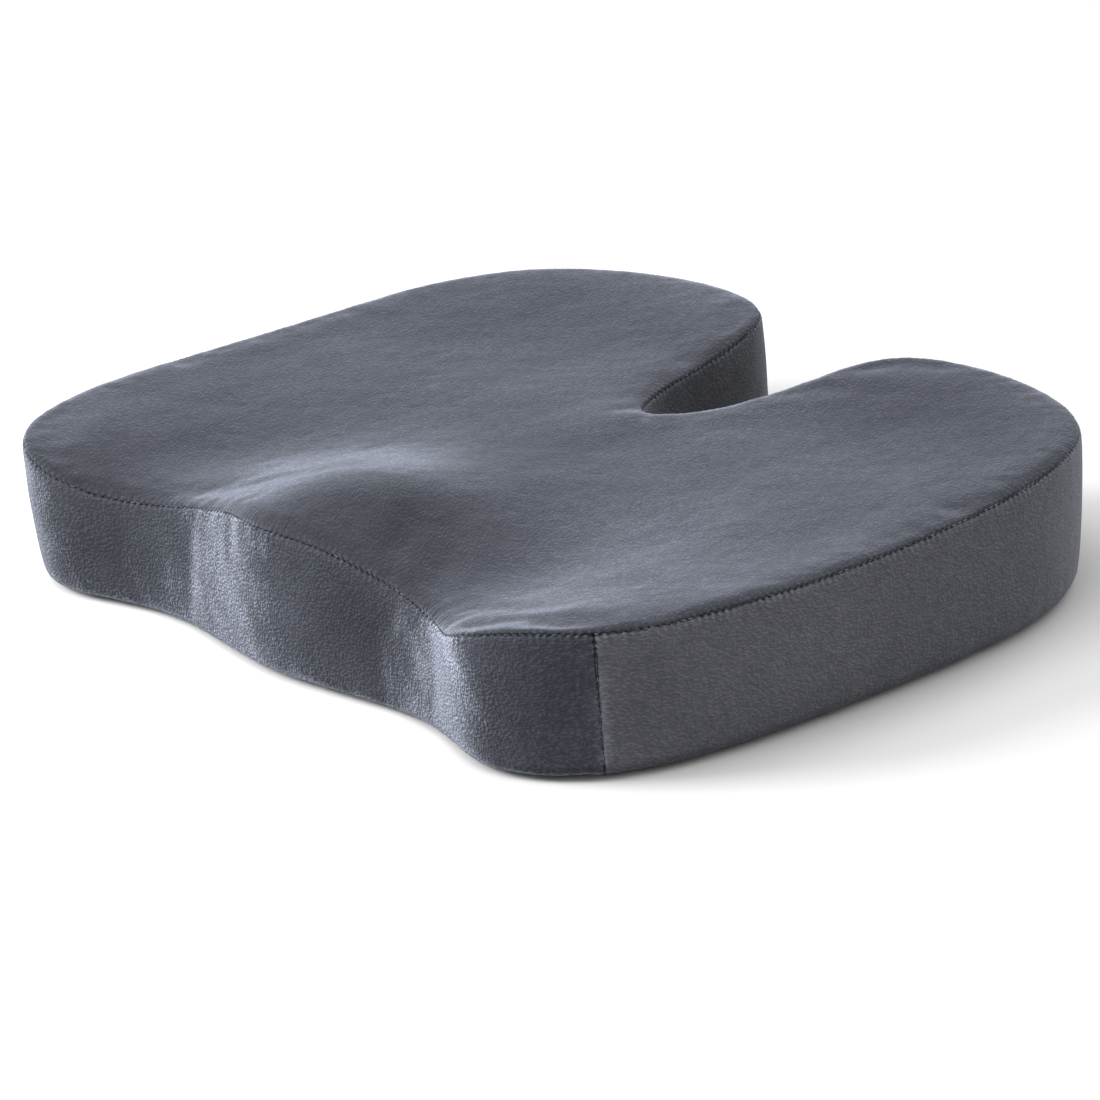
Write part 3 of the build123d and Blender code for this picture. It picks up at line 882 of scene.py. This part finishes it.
def dots(node):
    """Domed grip dots on a staggered grid, where the CAD has them."""
    rings = [(2.2, 1.05), (2.16, 0.62), (1.9, 0.25), (1.35, 0.06), (0.7, 0.01)]   # radius, z
    sides = 14
    dome = []
    for radius, z in rings:
        for k in range(sides):
            angle = 2 * math.pi * k / sides
            dome.append((radius * math.cos(angle), radius * math.sin(angle), z))
    tip = len(dome)
    dome.append((0.0, 0.0, 0.0))
    faces = strip_faces(len(rings), sides, closed=True)[:, [0, 3, 2, 1]].tolist()
    faces += [[tip - sides + k, tip, tip - sides + (k + 1) % sides] for k in range(sides)]
    faces.append(list(range(sides)))
    centres = dot_centres(node)
    points = centres[:, None] + np.array(dome)[None]
    return add_closed(f"{node}_domes", points.reshape(-1, 3),
                      repeat_faces(faces, len(centres), len(dome)))


def join_thread():
    """Stitches joining the two panels beyond both ends of the channel."""
    x = np.concatenate([np.arange(start + 1.5, end - 1, 3.2)
                        for start, end in ((190.5, 209.0), (-209.0, -190.5))])
    centre = np.c_[line_points(x, ZIP_Y), np.full(len(x), 0.98)]
    return stitches("panel_join_stitches", centre, (1, 0, 0), (0, 0, -1), half=1.25, radius=0.28)


def zip_thread():
    """A row of stitches along each side of the zip."""
    x = np.arange(-173.8, 174.0, 4.4)
    plan = np.vstack([line_points(x, ZIP_Y + side * 7.4) for side in (-1, 1)])
    centre = np.c_[plan, np.full(len(plan), 5.86)]
    return stitches("zip_stitches", centre, (1, 0, 0), (0, 0, -1), half=1.6, radius=0.26, sink=0.12)


# ---------------------------------------------------------------- the zip
# Section of the tape: distance from the zip's middle, low z, high z.
TAPE_SECTION = np.array([
    (0.65, 7.62, 7.78), (0.8, 7.46, 7.94), (1.3, 7.42, 7.98), (2.0, 7.5, 7.92),
    (3.0, 7.44, 7.98), (4.4, 7.42, 7.98), (6.4, 7.42, 7.98), (7.0, 7.5, 7.98),
    (7.4, 7.56, 7.98), (7.8, 7.5, 7.98), (8.4, 7.42, 7.98), (10.0, 7.42, 7.98),
    (12.0, 7.42, 7.98), (13.3, 7.44, 7.96), (13.7, 7.52, 7.88), (13.85, 7.7, 7.72),
])
COIL_X = 170.0         # half length of the coil
COIL_Z = 6.5


def tape(name, side):
    """Woven zip tape with a beaded inner edge."""
    y, low, high = TAPE_SECTION.T
    loop_y = np.concatenate([y, y[::-1]])
    loop_z = np.concatenate([low, high[::-1]])
    x = np.linspace(-180, 180, 361)[:, None]
    # only the outer edge wavers
    waver = (0.06 * np.sin(x / 9.0 + side) + 0.04 * np.sin(x / 3.7)) * (loop_y > 13)
    grid = np.stack(np.broadcast_arrays(x, ZIP_Y + side * (loop_y + waver), loop_z), axis=-1)
    rows, cols = grid.shape[:2]
    faces = strip_faces(rows, cols, closed=True).tolist()
    faces.append(list(range(cols)))
    faces.append(list(range((rows - 1) * cols, rows * cols))[::-1])
    return add_closed(name, grid.reshape(-1, 3), faces)


def tube(path, radius, sides):
    """A tube with closed ends along a path that doesn't start upright."""
    tangent = np.gradient(path, axis=0)
    tangent /= np.linalg.norm(tangent, axis=1)[:, None]
    normal = np.zeros_like(path)
    current = np.array([0.0, 0.0, 1.0])
    current = current - (current @ tangent[0]) * tangent[0]
    for i in range(len(path)):
        current = current - (current @ tangent[i]) * tangent[i]
        current /= np.linalg.norm(current)
        normal[i] = current
    across = np.cross(tangent, normal)[:, None]
    angle = (2 * np.pi * np.arange(sides) / sides)[None, :, None]
    ring = path[:, None] + radius * (np.cos(angle) * normal[:, None] + np.sin(angle) * across)
    last = (len(path) - 1) * sides
    faces = strip_faces(len(path), sides, closed=True).tolist()
    faces.append(list(range(sides))[::-1])
    faces.append(list(range(last, last + sides)))
    return ring.reshape(-1, 3), faces


def coil(name, side):
    """The nylon coil: a flattened helix whose loops reach to the middle, and its core."""
    pitch, steps = 1.5, 12
    turns = int(2 * COIL_X / pitch)
    turn = np.arange(turns * steps + 1) / steps
    angle = 2 * math.pi * turn
    helix = np.c_[-COIL_X + turn * pitch, ZIP_Y + side * (1.75 + 0.82 * np.cos(angle)),
                  COIL_Z + 0.62 * np.sin(angle)]
    core = np.c_[np.linspace(-COIL_X, COIL_X, 120), np.full(120, ZIP_Y + side * 1.85),
                 np.full(120, COIL_Z)]
    points, faces = tube(helix, radius=0.27, sides=5)
    core_points, core_faces = tube(core, radius=0.3, sides=6)
    faces += [[i + len(points) for i in face] for face in core_faces]
    return add_closed(name, np.vstack([points, core_points]), faces)


def label():
    """Blank label on the underside, a little curved across its width."""
    x, y = np.meshgrid(np.linspace(-15, 15, 31), np.linspace(-22, 22, 45))
    rows, cols = x.shape
    z = 2.62 + 0.05 * (x / 15) ** 2
    index = np.arange(rows * cols).reshape(rows, cols)
    rim = np.concatenate([index[0], index[1:, -1], index[-1, -2::-1], index[-2:0:-1, 0]])
    return add_sheet("care_label_blank", np.c_[x.ravel() - 96.0, y.ravel() + 60.0], z.ravel(),
                     thickness=0.22, faces=strip_faces(rows, cols, closed=False), rim=rim)


# --------------------------------------------------------------- foam core
FOAM_INSET = 4.6
FOAM_Z = 3.4           # height of its underside
FOAM_FOOT_R = 6.0
FOAM_TOP_DEPTH = 4.0   # under the top face


def foam():
    """The foam block inside the cover, with a channel for the zip."""
    outline = Outline(np.linspace(0, PERIMETER, int(PERIMETER / 3.0), endpoint=False))
    seam_z, lean = outline.seam_z, outline.lean
    foot_top = FOAM_Z + FOAM_FOOT_R
    shoulder = seam_z - 7.0
    rows = []
    for turn in np.radians([0, 25, 50, 75, 90]):
        out = -FOAM_INSET - FOAM_FOOT_R * (1 - math.sin(turn)) * 0.75
        z = FOAM_Z + FOAM_FOOT_R * (1 - math.cos(turn))
        rows.append(outline.points(out + lean * z / seam_z, z))
    for share in np.linspace(0.12, 1, 9):
        z = foot_top + (shoulder - foot_top) * share
        rows.append(outline.points(lean * z / seam_z - FOAM_INSET, z))
    for turn in np.radians([25, 50, 70, 90]):
        out = lean - FOAM_INSET - 8.0 * (1 - math.cos(turn))
        rise = outline.top(out) - FOAM_TOP_DEPTH - shoulder
        rows.append(outline.points(out, shoulder + rise * math.sin(turn)))

    cols, base = len(seam_z), len(rows) * len(seam_z)
    faces = strip_faces(len(rows), cols, closed=True).tolist()
    ring = rows[-1][:, :2]
    top = interior_points(ring, step=5.0, margin=2.5)
    low_start = base + len(top)
    faces += cap_faces(triangulate(ring, top), range(base - cols, base), range(base, low_start))

    foot = rows[0][:, :2]
    low = interior_points(foot, step=5.0, margin=2.5)
    lines = np.vstack([line_points(np.arange(-195, 195, 4.0), ZIP_Y + side * y)
                       for side in (-1, 1) for y in (6.0, 12.0, 14.8, 17.0, 19.0)])
    lines = lines[inside(foot, lines)]
    lines = lines[clear_of(foot, lines, 2.5)]
    low = np.vstack([lines, low[clear_of(lines, low, 2.0)]])
    faces += cap_faces(triangulate(foot, low), range(cols),
                       range(low_start, low_start + len(low)), flip=True)
    low_z = FOAM_Z + 6.6 * channel_share(*low.T, half_x=195, half_y=19.0)
    points = np.vstack([*rows, np.c_[top, top_at(top) - FOAM_TOP_DEPTH], np.c_[low, low_z]])
    return add_closed("foam_core_block", points, faces)


# ----------------------------------------------------------------- finishes
class Shader:
    """Short calls for building a node material; each returns an output socket."""

    def __init__(self, name):
        self.material = bpy.data.materials.new(name)
        self.material.use_nodes = True
        self.tree = self.material.node_tree
        self.tree.nodes.clear()
        self.surface = self.tree.nodes.new("ShaderNodeOutputMaterial").inputs["Surface"]
        self.coord = self.add("TexCoord", output="Object")

    def add(self, kind, inputs=None, output=0, **props):
        node = self.tree.nodes.new("ShaderNode" + kind)
        for key, value in props.items():
            setattr(node, key, value)
        for key, value in (inputs or {}).items():
            if isinstance(value, bpy.types.NodeSocket):
                self.tree.links.new(value, node.inputs[key])
            else:
                node.inputs[key].default_value = value
        return node.outputs[output]

    def mapped(self, scale, turn=0.0, source=None):
        """Coordinates turned about z and then scaled."""
        if not isinstance(scale, tuple):
            scale = (scale,) * 3
        turned = self.add("Mapping", {"Vector": source or self.coord, "Rotation": (0, 0, turn)})
        return self.add("Mapping", {"Vector": turned, "Scale": scale})

    def noise(self, scale, detail=2.0, rough=0.5, distort=0.0, turn=0.0, source=None, output=0):
        vector = self.mapped(scale, turn, source)
        return self.add("TexNoise", {"Vector": vector, "Scale": 1.0, "Detail": detail,
                                     "Roughness": rough, "Distortion": distort}, output)

    def wave(self, vector, scale, distort, detail, direction="X"):
        return self.add("TexWave", {"Vector": vector, "Scale": scale, "Distortion": distort,
                                    "Detail": detail}, output=1, bands_direction=direction)

    def shift(self, source, vector):
        return self.add("VectorMath", {0: source, 1: vector}, operation="ADD")

    def wander(self, scale, detail, size):
        """The coordinates, moved about by noise."""
        noise = self.noise(scale, detail=detail, output=1)
        return self.shift(self.coord, self.add("VectorMath", {0: noise, 3: size},
                                               operation="SCALE"))

    def ramp(self, factor, *stops):
        """Stops are a position and a grey or a colour."""
        colour = self.add("ValToRGB", {"Fac": factor})
        elements = colour.node.color_ramp.elements
        while len(elements) < len(stops):
            elements.new(1.0)
        for element, (position, value) in zip(elements, stops):
            element.position = position
            element.color = (*(value if isinstance(value, tuple) else (value,) * 3), 1.0)
        return colour

    def calc(self, operation, first, second, third=0.0, clamp=False):
        return self.add("Math", {0: first, 1: second, 2: third}, operation=operation,
                        use_clamp=clamp)

    def times(self, value, by):
        return self.calc("MULTIPLY", value, by)

    def times_add(self, value, by, plus, clamp=False):
        return self.calc("MULTIPLY_ADD", value, by, plus, clamp)

    def mix(self, amount, first, second, blend="MIX"):
        return self.add("MixRGB", {"Fac": amount, "Color1": first, "Color2": second},
                        blend_type=blend)

    def multiply(self, colour, by, amount=1.0):
        return self.mix(amount, colour, by, "MULTIPLY")

    def bump(self, height, strength, distance, normal=None):
        inputs = {"Height": height, "Strength": strength, "Distance": distance}
        if normal is not None:
            inputs["Normal"] = normal
        return self.add("Bump", inputs)

    def facing(self, normal):
        """0 seen straight on, 1 seen along the surface."""
        return self.add("LayerWeight", {"Blend": 0.5, "Normal": normal}, output="Facing")

    def finish(self, colour, rough, normal=None, **extra):
        inputs = {"Base Color": (*colour, 1.0) if isinstance(colour, tuple) else colour,
                  "Roughness": rough}
        if normal is not None:
            inputs["Normal"] = normal
        inputs.update({key.replace("_", " "): value for key, value in extra.items()})
        self.tree.links.new(self.add("BsdfPrincipled", inputs), self.surface)
        return self.material


SLATE = (0.90, 0.965, 1.20)
COOL = (0.97, 0.985, 1.13)
WANDER = 0.022         # how far the edges of the painted light and shade patches wander


def tinted(value, tint):
    return tuple(value * part for part in tint)


def painted_light_patches(shader, shade, light_patches):
    """Painted light and shade: lighter and darker patches on the pile's colour, standing in for how
    light falls on it.
    """
    place = shader.wander(40.0, detail=3.0, size=WANDER)
    field = 1.0
    for x, y, z, reach, share in light_patches:
        # noise is about a half on average, so the wander moves things by half its size
        centre = (x + WANDER / 2, y + WANDER / 2, z + WANDER / 2)
        gap = shader.add("VectorMath", {0: place, 1: centre}, output="Value", operation="DISTANCE")
        # value, from min, from max, to min, to max
        here = shader.add("MapRange", {0: gap, 1: reach, 2: 0.0, 3: 0.0, 4: share},
                          interpolation_type="SMOOTHSTEP")
        field = shader.calc("ADD", here, field)
    return shader.multiply(shade, shader.add("CombineColor", {0: field, 1: field, 2: field}))


def seam_shading(shader, shade, tuft):
    """Painted shade in a line along each seam's groove, a faint painted highlight just beside it,
    and teeth of painted light and shade on the gathers where the stitches pull.
    """
    seam = shader.add("Attribute", output="Fac", attribute_name="seam_mm")
    tick = shader.add("Attribute", output="Fac", attribute_name="seam_tick")
    near = shader.calc("ADD", shader.times_add(tick, by=0.34, plus=seam),
                       shader.times_add(tuft, by=1.2, plus=-0.6))
    # painted shade along the seam's groove, with a faint painted highlight just beside it
    line = shader.ramp(shader.times(near, by=0.25), (0.07, 0.22), (0.13, 0.62), (0.22, 1.14),
                       (0.6, 1.0))
    shade = shader.multiply(shade, line)
    reach = shader.ramp(shader.times(seam, by=0.1), (0.06, 0.8), (0.45, 0.0))
    # painted light and shade on the gathers between the stitches
    gather_light_shade = shader.ramp(shader.times_add(tick, by=0.5, plus=0.5), (0.1, 0.62), (0.9, 1.7))
    return shader.mix(reach, shade, shader.multiply(shade, gather_light_shade))


def pile(name, stretch, turn, density, sheen_tones, depth, base_tint, tint, dark, light, lean, light_patches,
         quiet=0.6, shag=0.0, mottle=0.0, sheen_patches=0.0):
    """Short velour pile. Its colour carries a painted sheen: by its tones it gets
    lighter from seen straight on to seen along the surface. Each tuft is painted
    light on one side and painted dark on the other, as if lit from the side lean points to.

    stretch, turn, density: shape, direction and fineness of the tufts
    base_tint, tint: tints seen straight on and along the surface
    dark, light: painted shade and painted light on the two sides of a tuft; quiet: their strength
    seen straight on; lean: the side the tufts are painted as lit from
    shag, mottle: how ragged and patchy the nap is; brushed: how much the painted sheen varies in
    random patches, which also turns on painted shade round the left end
    """
    shader = Shader(name)
    bent = shader.wander(22.0, detail=1.0, size=0.004 if stretch > 2 else 0.0)

    def grain(size, stretch, source=bent, **noise):
        return shader.noise((size, size / stretch, size), turn=turn, source=source, **noise)
    ragged = 0.15 + 2.0 * shag
    tuft = grain(density, stretch, detail=1.5, distort=ragged)
    fine = grain(density * 2.1, stretch, detail=1.5, rough=0.55, distort=0.4)
    tuft_toward_lamp = grain(density, stretch, shader.shift(bent, lean), detail=1.5, distort=ragged)
    clump = grain(density * 0.30, 1 + 0.4 * (stretch - 1), detail=3.0, rough=0.55, distort=0.6)
    patch = shader.noise(85.0, detail=4.0, rough=0.6, distort=0.6)
    normal = shader.bump(clump, strength=0.5, distance=0.0007 * depth)
    normal = shader.bump(tuft, strength=1.0, distance=0.00050 * depth, normal=normal)
    normal = shader.bump(fine, strength=0.7, distance=0.00014 * depth, normal=normal)
    broad = shader.facing(shader.bump(patch, strength=1.0, distance=0.0010 * mottle))
    close = shader.facing(normal)
    facing = shader.times_add(broad, by=0.84, plus=shader.times(close, by=0.16))
    if sheen_patches:
        # painted sheen varied in random patches, and painted shade round the left end, where the
        # sheen is turned down
        sheen_patch = shader.noise((26.0, 26.0, 34.0), distort=0.8)
        facing = shader.calc("ADD", facing,
                             shader.times_add(sheen_patch, by=2 * sheen_patches, plus=-sheen_patches))
        x = shader.add("SeparateXYZ", {"Vector": shader.coord}, output="X")
        end = shader.times_add(x, by=-22.0, plus=-3.1, clamp=True)
        facing = shader.times(facing, by=shader.times_add(end, by=-0.42, plus=1.0))

    def sheen_tone(position, value):
        share = min(1, max(0, (position - 0.3) / 0.25))
        blend = [base + (far - base) * share for base, far in zip(base_tint, tint)]
        return position, tinted(value, blend)
    # painted sheen: the base colour gets lighter as the surface is seen more along it
    body = shader.ramp(facing, *[sheen_tone(*stop) for stop in sheen_tones])
    # painted light and shade on each tuft: the tuft minus itself moved by lean, so the side towards
    # lean is lit
    painted_tuft_light = shader.times_add(shader.calc("SUBTRACT", tuft, tuft_toward_lamp), by=0.8, plus=0.5)
    tuft_light_mix = shader.times_add(tuft, by=0.15, plus=shader.times(painted_tuft_light, by=0.85))
    sides = shader.ramp(tuft_light_mix, (0.37, dark), (0.5, 0.5 + 0.5 * dark), (0.63, light))
    shade = shader.multiply(body, sides, amount=shader.ramp(facing, (0.22, quiet), (0.48, 1.0)))
    shade = shader.multiply(shade, shader.ramp(clump, (0.34, 0.90), (0.64, 1.10)))
    shade = shader.multiply(shade, shader.ramp(patch, (0.3, (0.94, 0.945, 0.955)),
                                               (0.7, (1.06, 1.055, 1.045))))
    # painted light and shade patches over the pile
    shade = painted_light_patches(shader, shade, light_patches)
    # painted shade along the seams
    shade = seam_shading(shader, shade, tuft)
    # the foot rolls under into shade
    z = shader.add("SeparateXYZ", {"Vector": shader.coord}, output="Z")
    shade = shader.multiply(shade, shader.ramp(shader.times(z, by=100.0), (0.12, 0.35),
                                               (0.75, 1.0)))
    return shader.finish(shade, 0.88, normal, Sheen_Weight=0.14, Sheen_Roughness=0.45,
                         Sheen_Tint=(0.80, 0.87, 1.0, 1.0), Specular_IOR_Level=0.12)


def thread_finish():
    shader = Shader("seam_thread")
    twist = shader.wave(shader.mapped(1.0, turn=0.6), scale=900.0, distort=1.5, detail=1.0)
    glint_patch = shader.noise(90.0)
    shade = shader.ramp(twist, (0.2, tinted(0.045, SLATE)), (0.8, tinted(0.10, SLATE)))
    # painted glints: scattered patches of the thread made up to three times lighter
    shade = shader.multiply(shade, shader.ramp(glint_patch, (0.52, 0.8), (0.62, 3.0)))
    return shader.finish(shade, 0.55, shader.bump(twist, strength=0.5, distance=0.0001),
                         Sheen_Weight=0.05, Specular_IOR_Level=0.25)


def weave(name, dark, light, pitch, rough, tilt=0.0):
    """Plain weave from two crossed waves."""
    shader = Shader(name)
    vector = shader.mapped(1.0, turn=tilt)
    warp, weft = (shader.wave(vector, scale=0.25 / pitch, distort=0.6, detail=1.5, direction=axis)
                  for axis in "XY")
    yarn = shader.calc("MAXIMUM", warp, weft)
    fuzz = shader.noise(2500.0)
    patch = shader.noise(45.0, detail=3.0)
    height = shader.times_add(fuzz, by=0.25, plus=shader.times(yarn, by=0.75))
    shade = shader.ramp(height, (0.25, dark), (0.9, light))
    shade = shader.multiply(shade, shader.ramp(patch, (0.3, 0.88), (0.7, 1.1)))
    normal = shader.bump(fuzz, strength=0.4, distance=pitch * 0.1)
    normal = shader.bump(yarn, strength=0.7, distance=pitch * 0.25, normal=normal)
    return shader.finish(shade, rough, normal, Sheen_Weight=0.2, Specular_IOR_Level=0.25)


def rubber():
    shader = Shader("grip_rubber")
    grain = shader.noise(900.0, detail=3.0)
    patch = shader.noise(60.0)
    rough = shader.ramp(grain, (0.3, 0.42), (0.7, 0.62))
    shade = shader.ramp(patch, (0.3, (0.016, 0.017, 0.019)), (0.7, (0.032, 0.033, 0.036)))
    return shader.finish(shade, rough, shader.bump(grain, strength=0.35, distance=0.00015))


def nylon():
    shader = Shader("zip_coil")
    grain = shader.noise(1500.0)
    shade = shader.ramp(grain, (0.3, (0.02, 0.023, 0.028)), (0.7, (0.045, 0.05, 0.06)))
    return shader.finish(shade, 0.34, shader.bump(grain, strength=0.2, distance=0.00005))


def metal():
    shader = Shader("zip_metal")
    grain = shader.noise((220.0, 1800.0, 900.0), detail=3.0)
    wear = shader.noise(260.0, detail=4.0, rough=0.65)
    shade = shader.ramp(wear, (0.32, (0.30, 0.30, 0.31)), (0.6, (0.46, 0.46, 0.47)),
                        (0.75, (0.62, 0.61, 0.60)))
    rough = shader.ramp(grain, (0.3, 0.24), (0.7, 0.42))
    return shader.finish(shade, rough, shader.bump(grain, strength=0.2, distance=0.00004),
                         Metallic=1.0)


def foam_finish():
    shader = Shader("foam")
    cell = shader.add("TexVoronoi", {"Vector": shader.mapped(1.0), "Scale": 1100.0})
    patch = shader.noise(30.0, detail=3.0)
    shade = shader.ramp(cell, (0.1, (0.36, 0.33, 0.25)), (0.55, (0.62, 0.58, 0.47)))
    shade = shader.multiply(shade, shader.ramp(patch, (0.3, 0.9), (0.7, 1.08)))
    return shader.finish(shade, 0.95, shader.bump(cell, strength=0.8, distance=0.0004))


# Painted sheen tones of the pile: how far along the surface it is seen, and its brightness.
TOP_SHEEN_TONES = ((0.2, 0.044), (0.45, 0.050), (0.56, 0.064), (0.66, 0.092), (0.74, 0.122),
             (0.85, 0.24))
FRONT_SHEEN_TONES = ((0.15, 0.052), (0.36, 0.046), (0.44, 0.052), (0.55, 0.105), (0.66, 0.19),
               (0.9, 0.26))
SIDE_SHEEN_TONES = ((0.15, 0.098), (0.30, 0.098), (0.5, 0.103), (0.7, 0.13), (0.9, 0.17))
# Patches of painted light and shade on the pile: x, y, z, reach (all metres), how much lighter or
# darker.
TOP_LIGHT_PATCHES = (
    (0.123, -0.051, 0.058, 0.085, 0.46), (-0.006, -0.017, 0.062, 0.060, -0.24),
    (0.121, 0.104, 0.065, 0.070, -0.22), (0.172, 0.115, 0.069, 0.060, -0.16),
    (-0.035, -0.097, 0.069, 0.026, -0.30), (0.048, -0.113, 0.065, 0.034, -0.10),
    (0.205, -0.004, 0.065, 0.040, 0.10),
)
FRONT_LIGHT_PATCHES = (
    (0.054, -0.152, 0.038, 0.040, -0.38), (0.151, -0.170, 0.054, 0.026, 0.50),
    (0.013, -0.161, 0.034, 0.024, 0.25), (-0.041, -0.155, 0.042, 0.022, 0.05),
    (-0.118, -0.158, 0.026, 0.036, -0.22), (-0.056, -0.157, 0.004, 0.020, -0.15),
    (0.193, -0.151, 0.043, 0.026, -0.10), (-0.148, -0.167, 0.019, 0.030, -0.30),
)
SIDE_LIGHT_PATCHES = (
    (-0.027, 0.104, 0.047, 0.060, -0.38), (-0.046, 0.152, 0.043, 0.050, -0.30),
    (0.211, -0.124, 0.034, 0.036, -0.16), (0.222, -0.043, 0.032, 0.050, 0.10),
)
PILE_TOP = pile("pile_top", stretch=2.2, turn=-math.radians(44.0), density=1000.0,
                sheen_tones=TOP_SHEEN_TONES, depth=0.62, base_tint=(0.93, 0.972, 1.17), tint=SLATE,
                dark=0.69, light=1.44, lean=(-0.00040, 0.00032, 0.0001), mottle=0.12,
                light_patches=TOP_LIGHT_PATCHES)
PILE_FRONT = pile("pile_front", stretch=2.2, turn=0.5, density=1050.0, sheen_tones=FRONT_SHEEN_TONES,
                  depth=1.0, base_tint=SLATE, tint=SLATE, dark=0.44, light=1.95,
                  lean=(-0.0004, 0.0, 0.0005), quiet=0.42, shag=0.12, mottle=0.8,
                  sheen_patches=0.15, light_patches=FRONT_LIGHT_PATCHES)
PILE_SIDE = pile("pile_side", stretch=1.8, turn=0.4, density=1000.0, sheen_tones=SIDE_SHEEN_TONES,
                 depth=0.6, base_tint=COOL, tint=COOL, dark=0.74, light=1.32,
                 lean=(0.0, 0.0004, 0.0005), quiet=0.85, shag=0.1, mottle=0.4,
                 light_patches=SIDE_LIGHT_PATCHES)
THREAD = thread_finish()
BASE = weave("base_fabric", dark=(0.018, 0.019, 0.022), light=(0.06, 0.063, 0.07),
             pitch=0.0006, rough=0.78)
TAPE = weave("zip_tape", dark=(0.022, 0.025, 0.03), light=(0.075, 0.082, 0.095),
             pitch=0.0004, rough=0.6, tilt=0.785)
LABEL = weave("label_tape", dark=(0.62, 0.61, 0.58), light=(0.82, 0.81, 0.78),
              pitch=0.0003, rough=0.45)
RUBBER = rubber()
NYLON = nylon()
FOAM = foam_finish()
METAL = metal()


# ------------------------------------------------------------------- pieces
def put(ob, material, node):
    """Gives a piece its material and puts it in a CAD node's place."""
    ob.data.materials.append(material)
    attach(ob, "cushion")
    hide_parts(node)


put(top_panel(), PILE_TOP, "top_panel")
for side, material in (("front", PILE_FRONT), ("right", PILE_SIDE), ("left", PILE_SIDE)):
    put(band(side), material, f"{side}_band")
for build, node in ((top_thread, "top_seam_thread"), (upright_threads, "band_seam_threads"),
                    (foot_thread, "bottom_seam_thread"), (join_thread, "panel_join_threads"),
                    (zip_thread, "zip_stitch_threads")):
    put(build(), THREAD, node)
HALVES = (("front", -1), ("rear", 1))   # and the direction in y
for half, side in HALVES:
    put(bottom_panel(f"underside_{half}", side), BASE, f"bottom_panel_{half}")
for half, _ in HALVES:
    put(dots(f"grip_dots_{half}"), RUBBER, f"grip_dots_{half}")
for half, side in HALVES:
    put(tape(f"zip_tape_{half}_woven", side), TAPE, f"zipper_tape_{half}")
for half, side in HALVES:
    put(coil(f"zip_coil_{half}_helix", side), NYLON, f"zipper_coil_{half}")
put(label(), LABEL, "care_label")
put(foam(), FOAM, "foam_core")

# the zip's metal parts keep their CAD meshes, with softened edges
for node in ("zipper_slider", "zipper_pull_tab", "zipper_top_stops", "zipper_bottom_stop"):
    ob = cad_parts[node]
    ob.data.materials.clear()
    ob.data.materials.append(METAL)
    bevel = ob.modifiers.new("edges", "BEVEL")
    bevel.width = 0.00018
    bevel.segments = 2
    bevel.limit_method = "ANGLE"
    bevel.angle_limit = math.radians(35)
    bevel.use_clamp_overlap = True


# -------------------------------------------------------------------- stage
def link(name, data):
    ob = bpy.data.objects.new(name, data)
    bpy.context.scene.collection.objects.link(ob)
    return ob


def studio_floor():
    half, z = 30, -0.0002
    corners = [(-half, -half, z), (half, -half, z), (half, half, z), (-half, half, z)]
    mesh = bpy.data.meshes.new("floor")
    mesh.from_pydata(corners, [], [(0, 1, 2, 3)])
    floor = link("floor", mesh)
    shader = Shader("studio_floor")
    mesh.materials.append(shader.finish((0.93, 0.93, 0.93), 0.9, Specular_IOR_Level=0.1))


def direction(azimuth, elevation):
    """Unit vector; azimuth 0 is in front (-Y), 90 on the right (+X)."""
    azimuth, elevation = math.radians(azimuth), math.radians(elevation)
    return Vector((math.sin(azimuth) * math.cos(elevation),
                   -math.cos(azimuth) * math.cos(elevation), math.sin(elevation)))


def camera():
    """A long lens from the front right, a little above and slightly rolled."""
    azimuth, elevation, tilt = map(math.radians, (53.9508, 20.0826, -4.7933))
    distance = 2.616204
    target = np.array([0.035860, -0.036572, 0.030])
    back = np.array([math.sin(azimuth) * math.cos(elevation),
                     -math.cos(azimuth) * math.cos(elevation), math.sin(elevation)])
    level = np.array([math.cos(azimuth), math.sin(azimuth), 0.0])
    upright = np.cross(back, level)
    right = math.cos(tilt) * level + math.sin(tilt) * upright
    up = -math.sin(tilt) * level + math.cos(tilt) * upright
    data = bpy.data.cameras.new("camera")
    ob = link("camera", data)
    axes = np.c_[right, up, back, target + back * distance]
    ob.matrix_world = Matrix([*axes.tolist(), (0, 0, 0, 1)])
    data.sensor_width = 36.0
    data.lens = 198.9834873
    data.clip_end = 100.0
    bpy.context.scene.camera = ob


def lamp(name, location, away, size, power):
    """A soft area light that shines against the vector `away`."""
    data = bpy.data.lights.new(name, "AREA")
    data.shape = "DISK"
    data.size = size
    data.energy = power
    ob = link(name, data)
    ob.location = location
    ob.rotation_euler = away.to_track_quat("Z", "Y").to_euler()


def aimed_lamp(name, azimuth, elevation, distance, size, power):
    """A lamp aimed at the origin."""
    away = direction(azimuth, elevation)
    lamp(name, away * distance, away, size, power)


studio_floor()
camera()
aimed_lamp("key", azimuth=-38, elevation=30, distance=1.6, size=0.8, power=25.0)
aimed_lamp("fill", azimuth=100, elevation=45, distance=3.0, size=2.2, power=7.0)
aimed_lamp("overhead", azimuth=-10, elevation=72, distance=2.4, size=2.0, power=24.0)
lamp("backdrop", location=(-1.6, 4.6, 2.6), away=Vector((0.15, -0.1, 1.0)), size=3.0, power=130.0)
world = bpy.data.worlds.new("studio")
world.use_nodes = True
background = world.node_tree.nodes["Background"]
background.inputs["Color"].default_value = (1, 1, 1, 1)
background.inputs["Strength"].default_value = 0.46
bpy.context.scene.world = world
bpy.context.scene.view_settings.view_transform = "Standard"
bpy.context.scene.view_settings.look = "None"
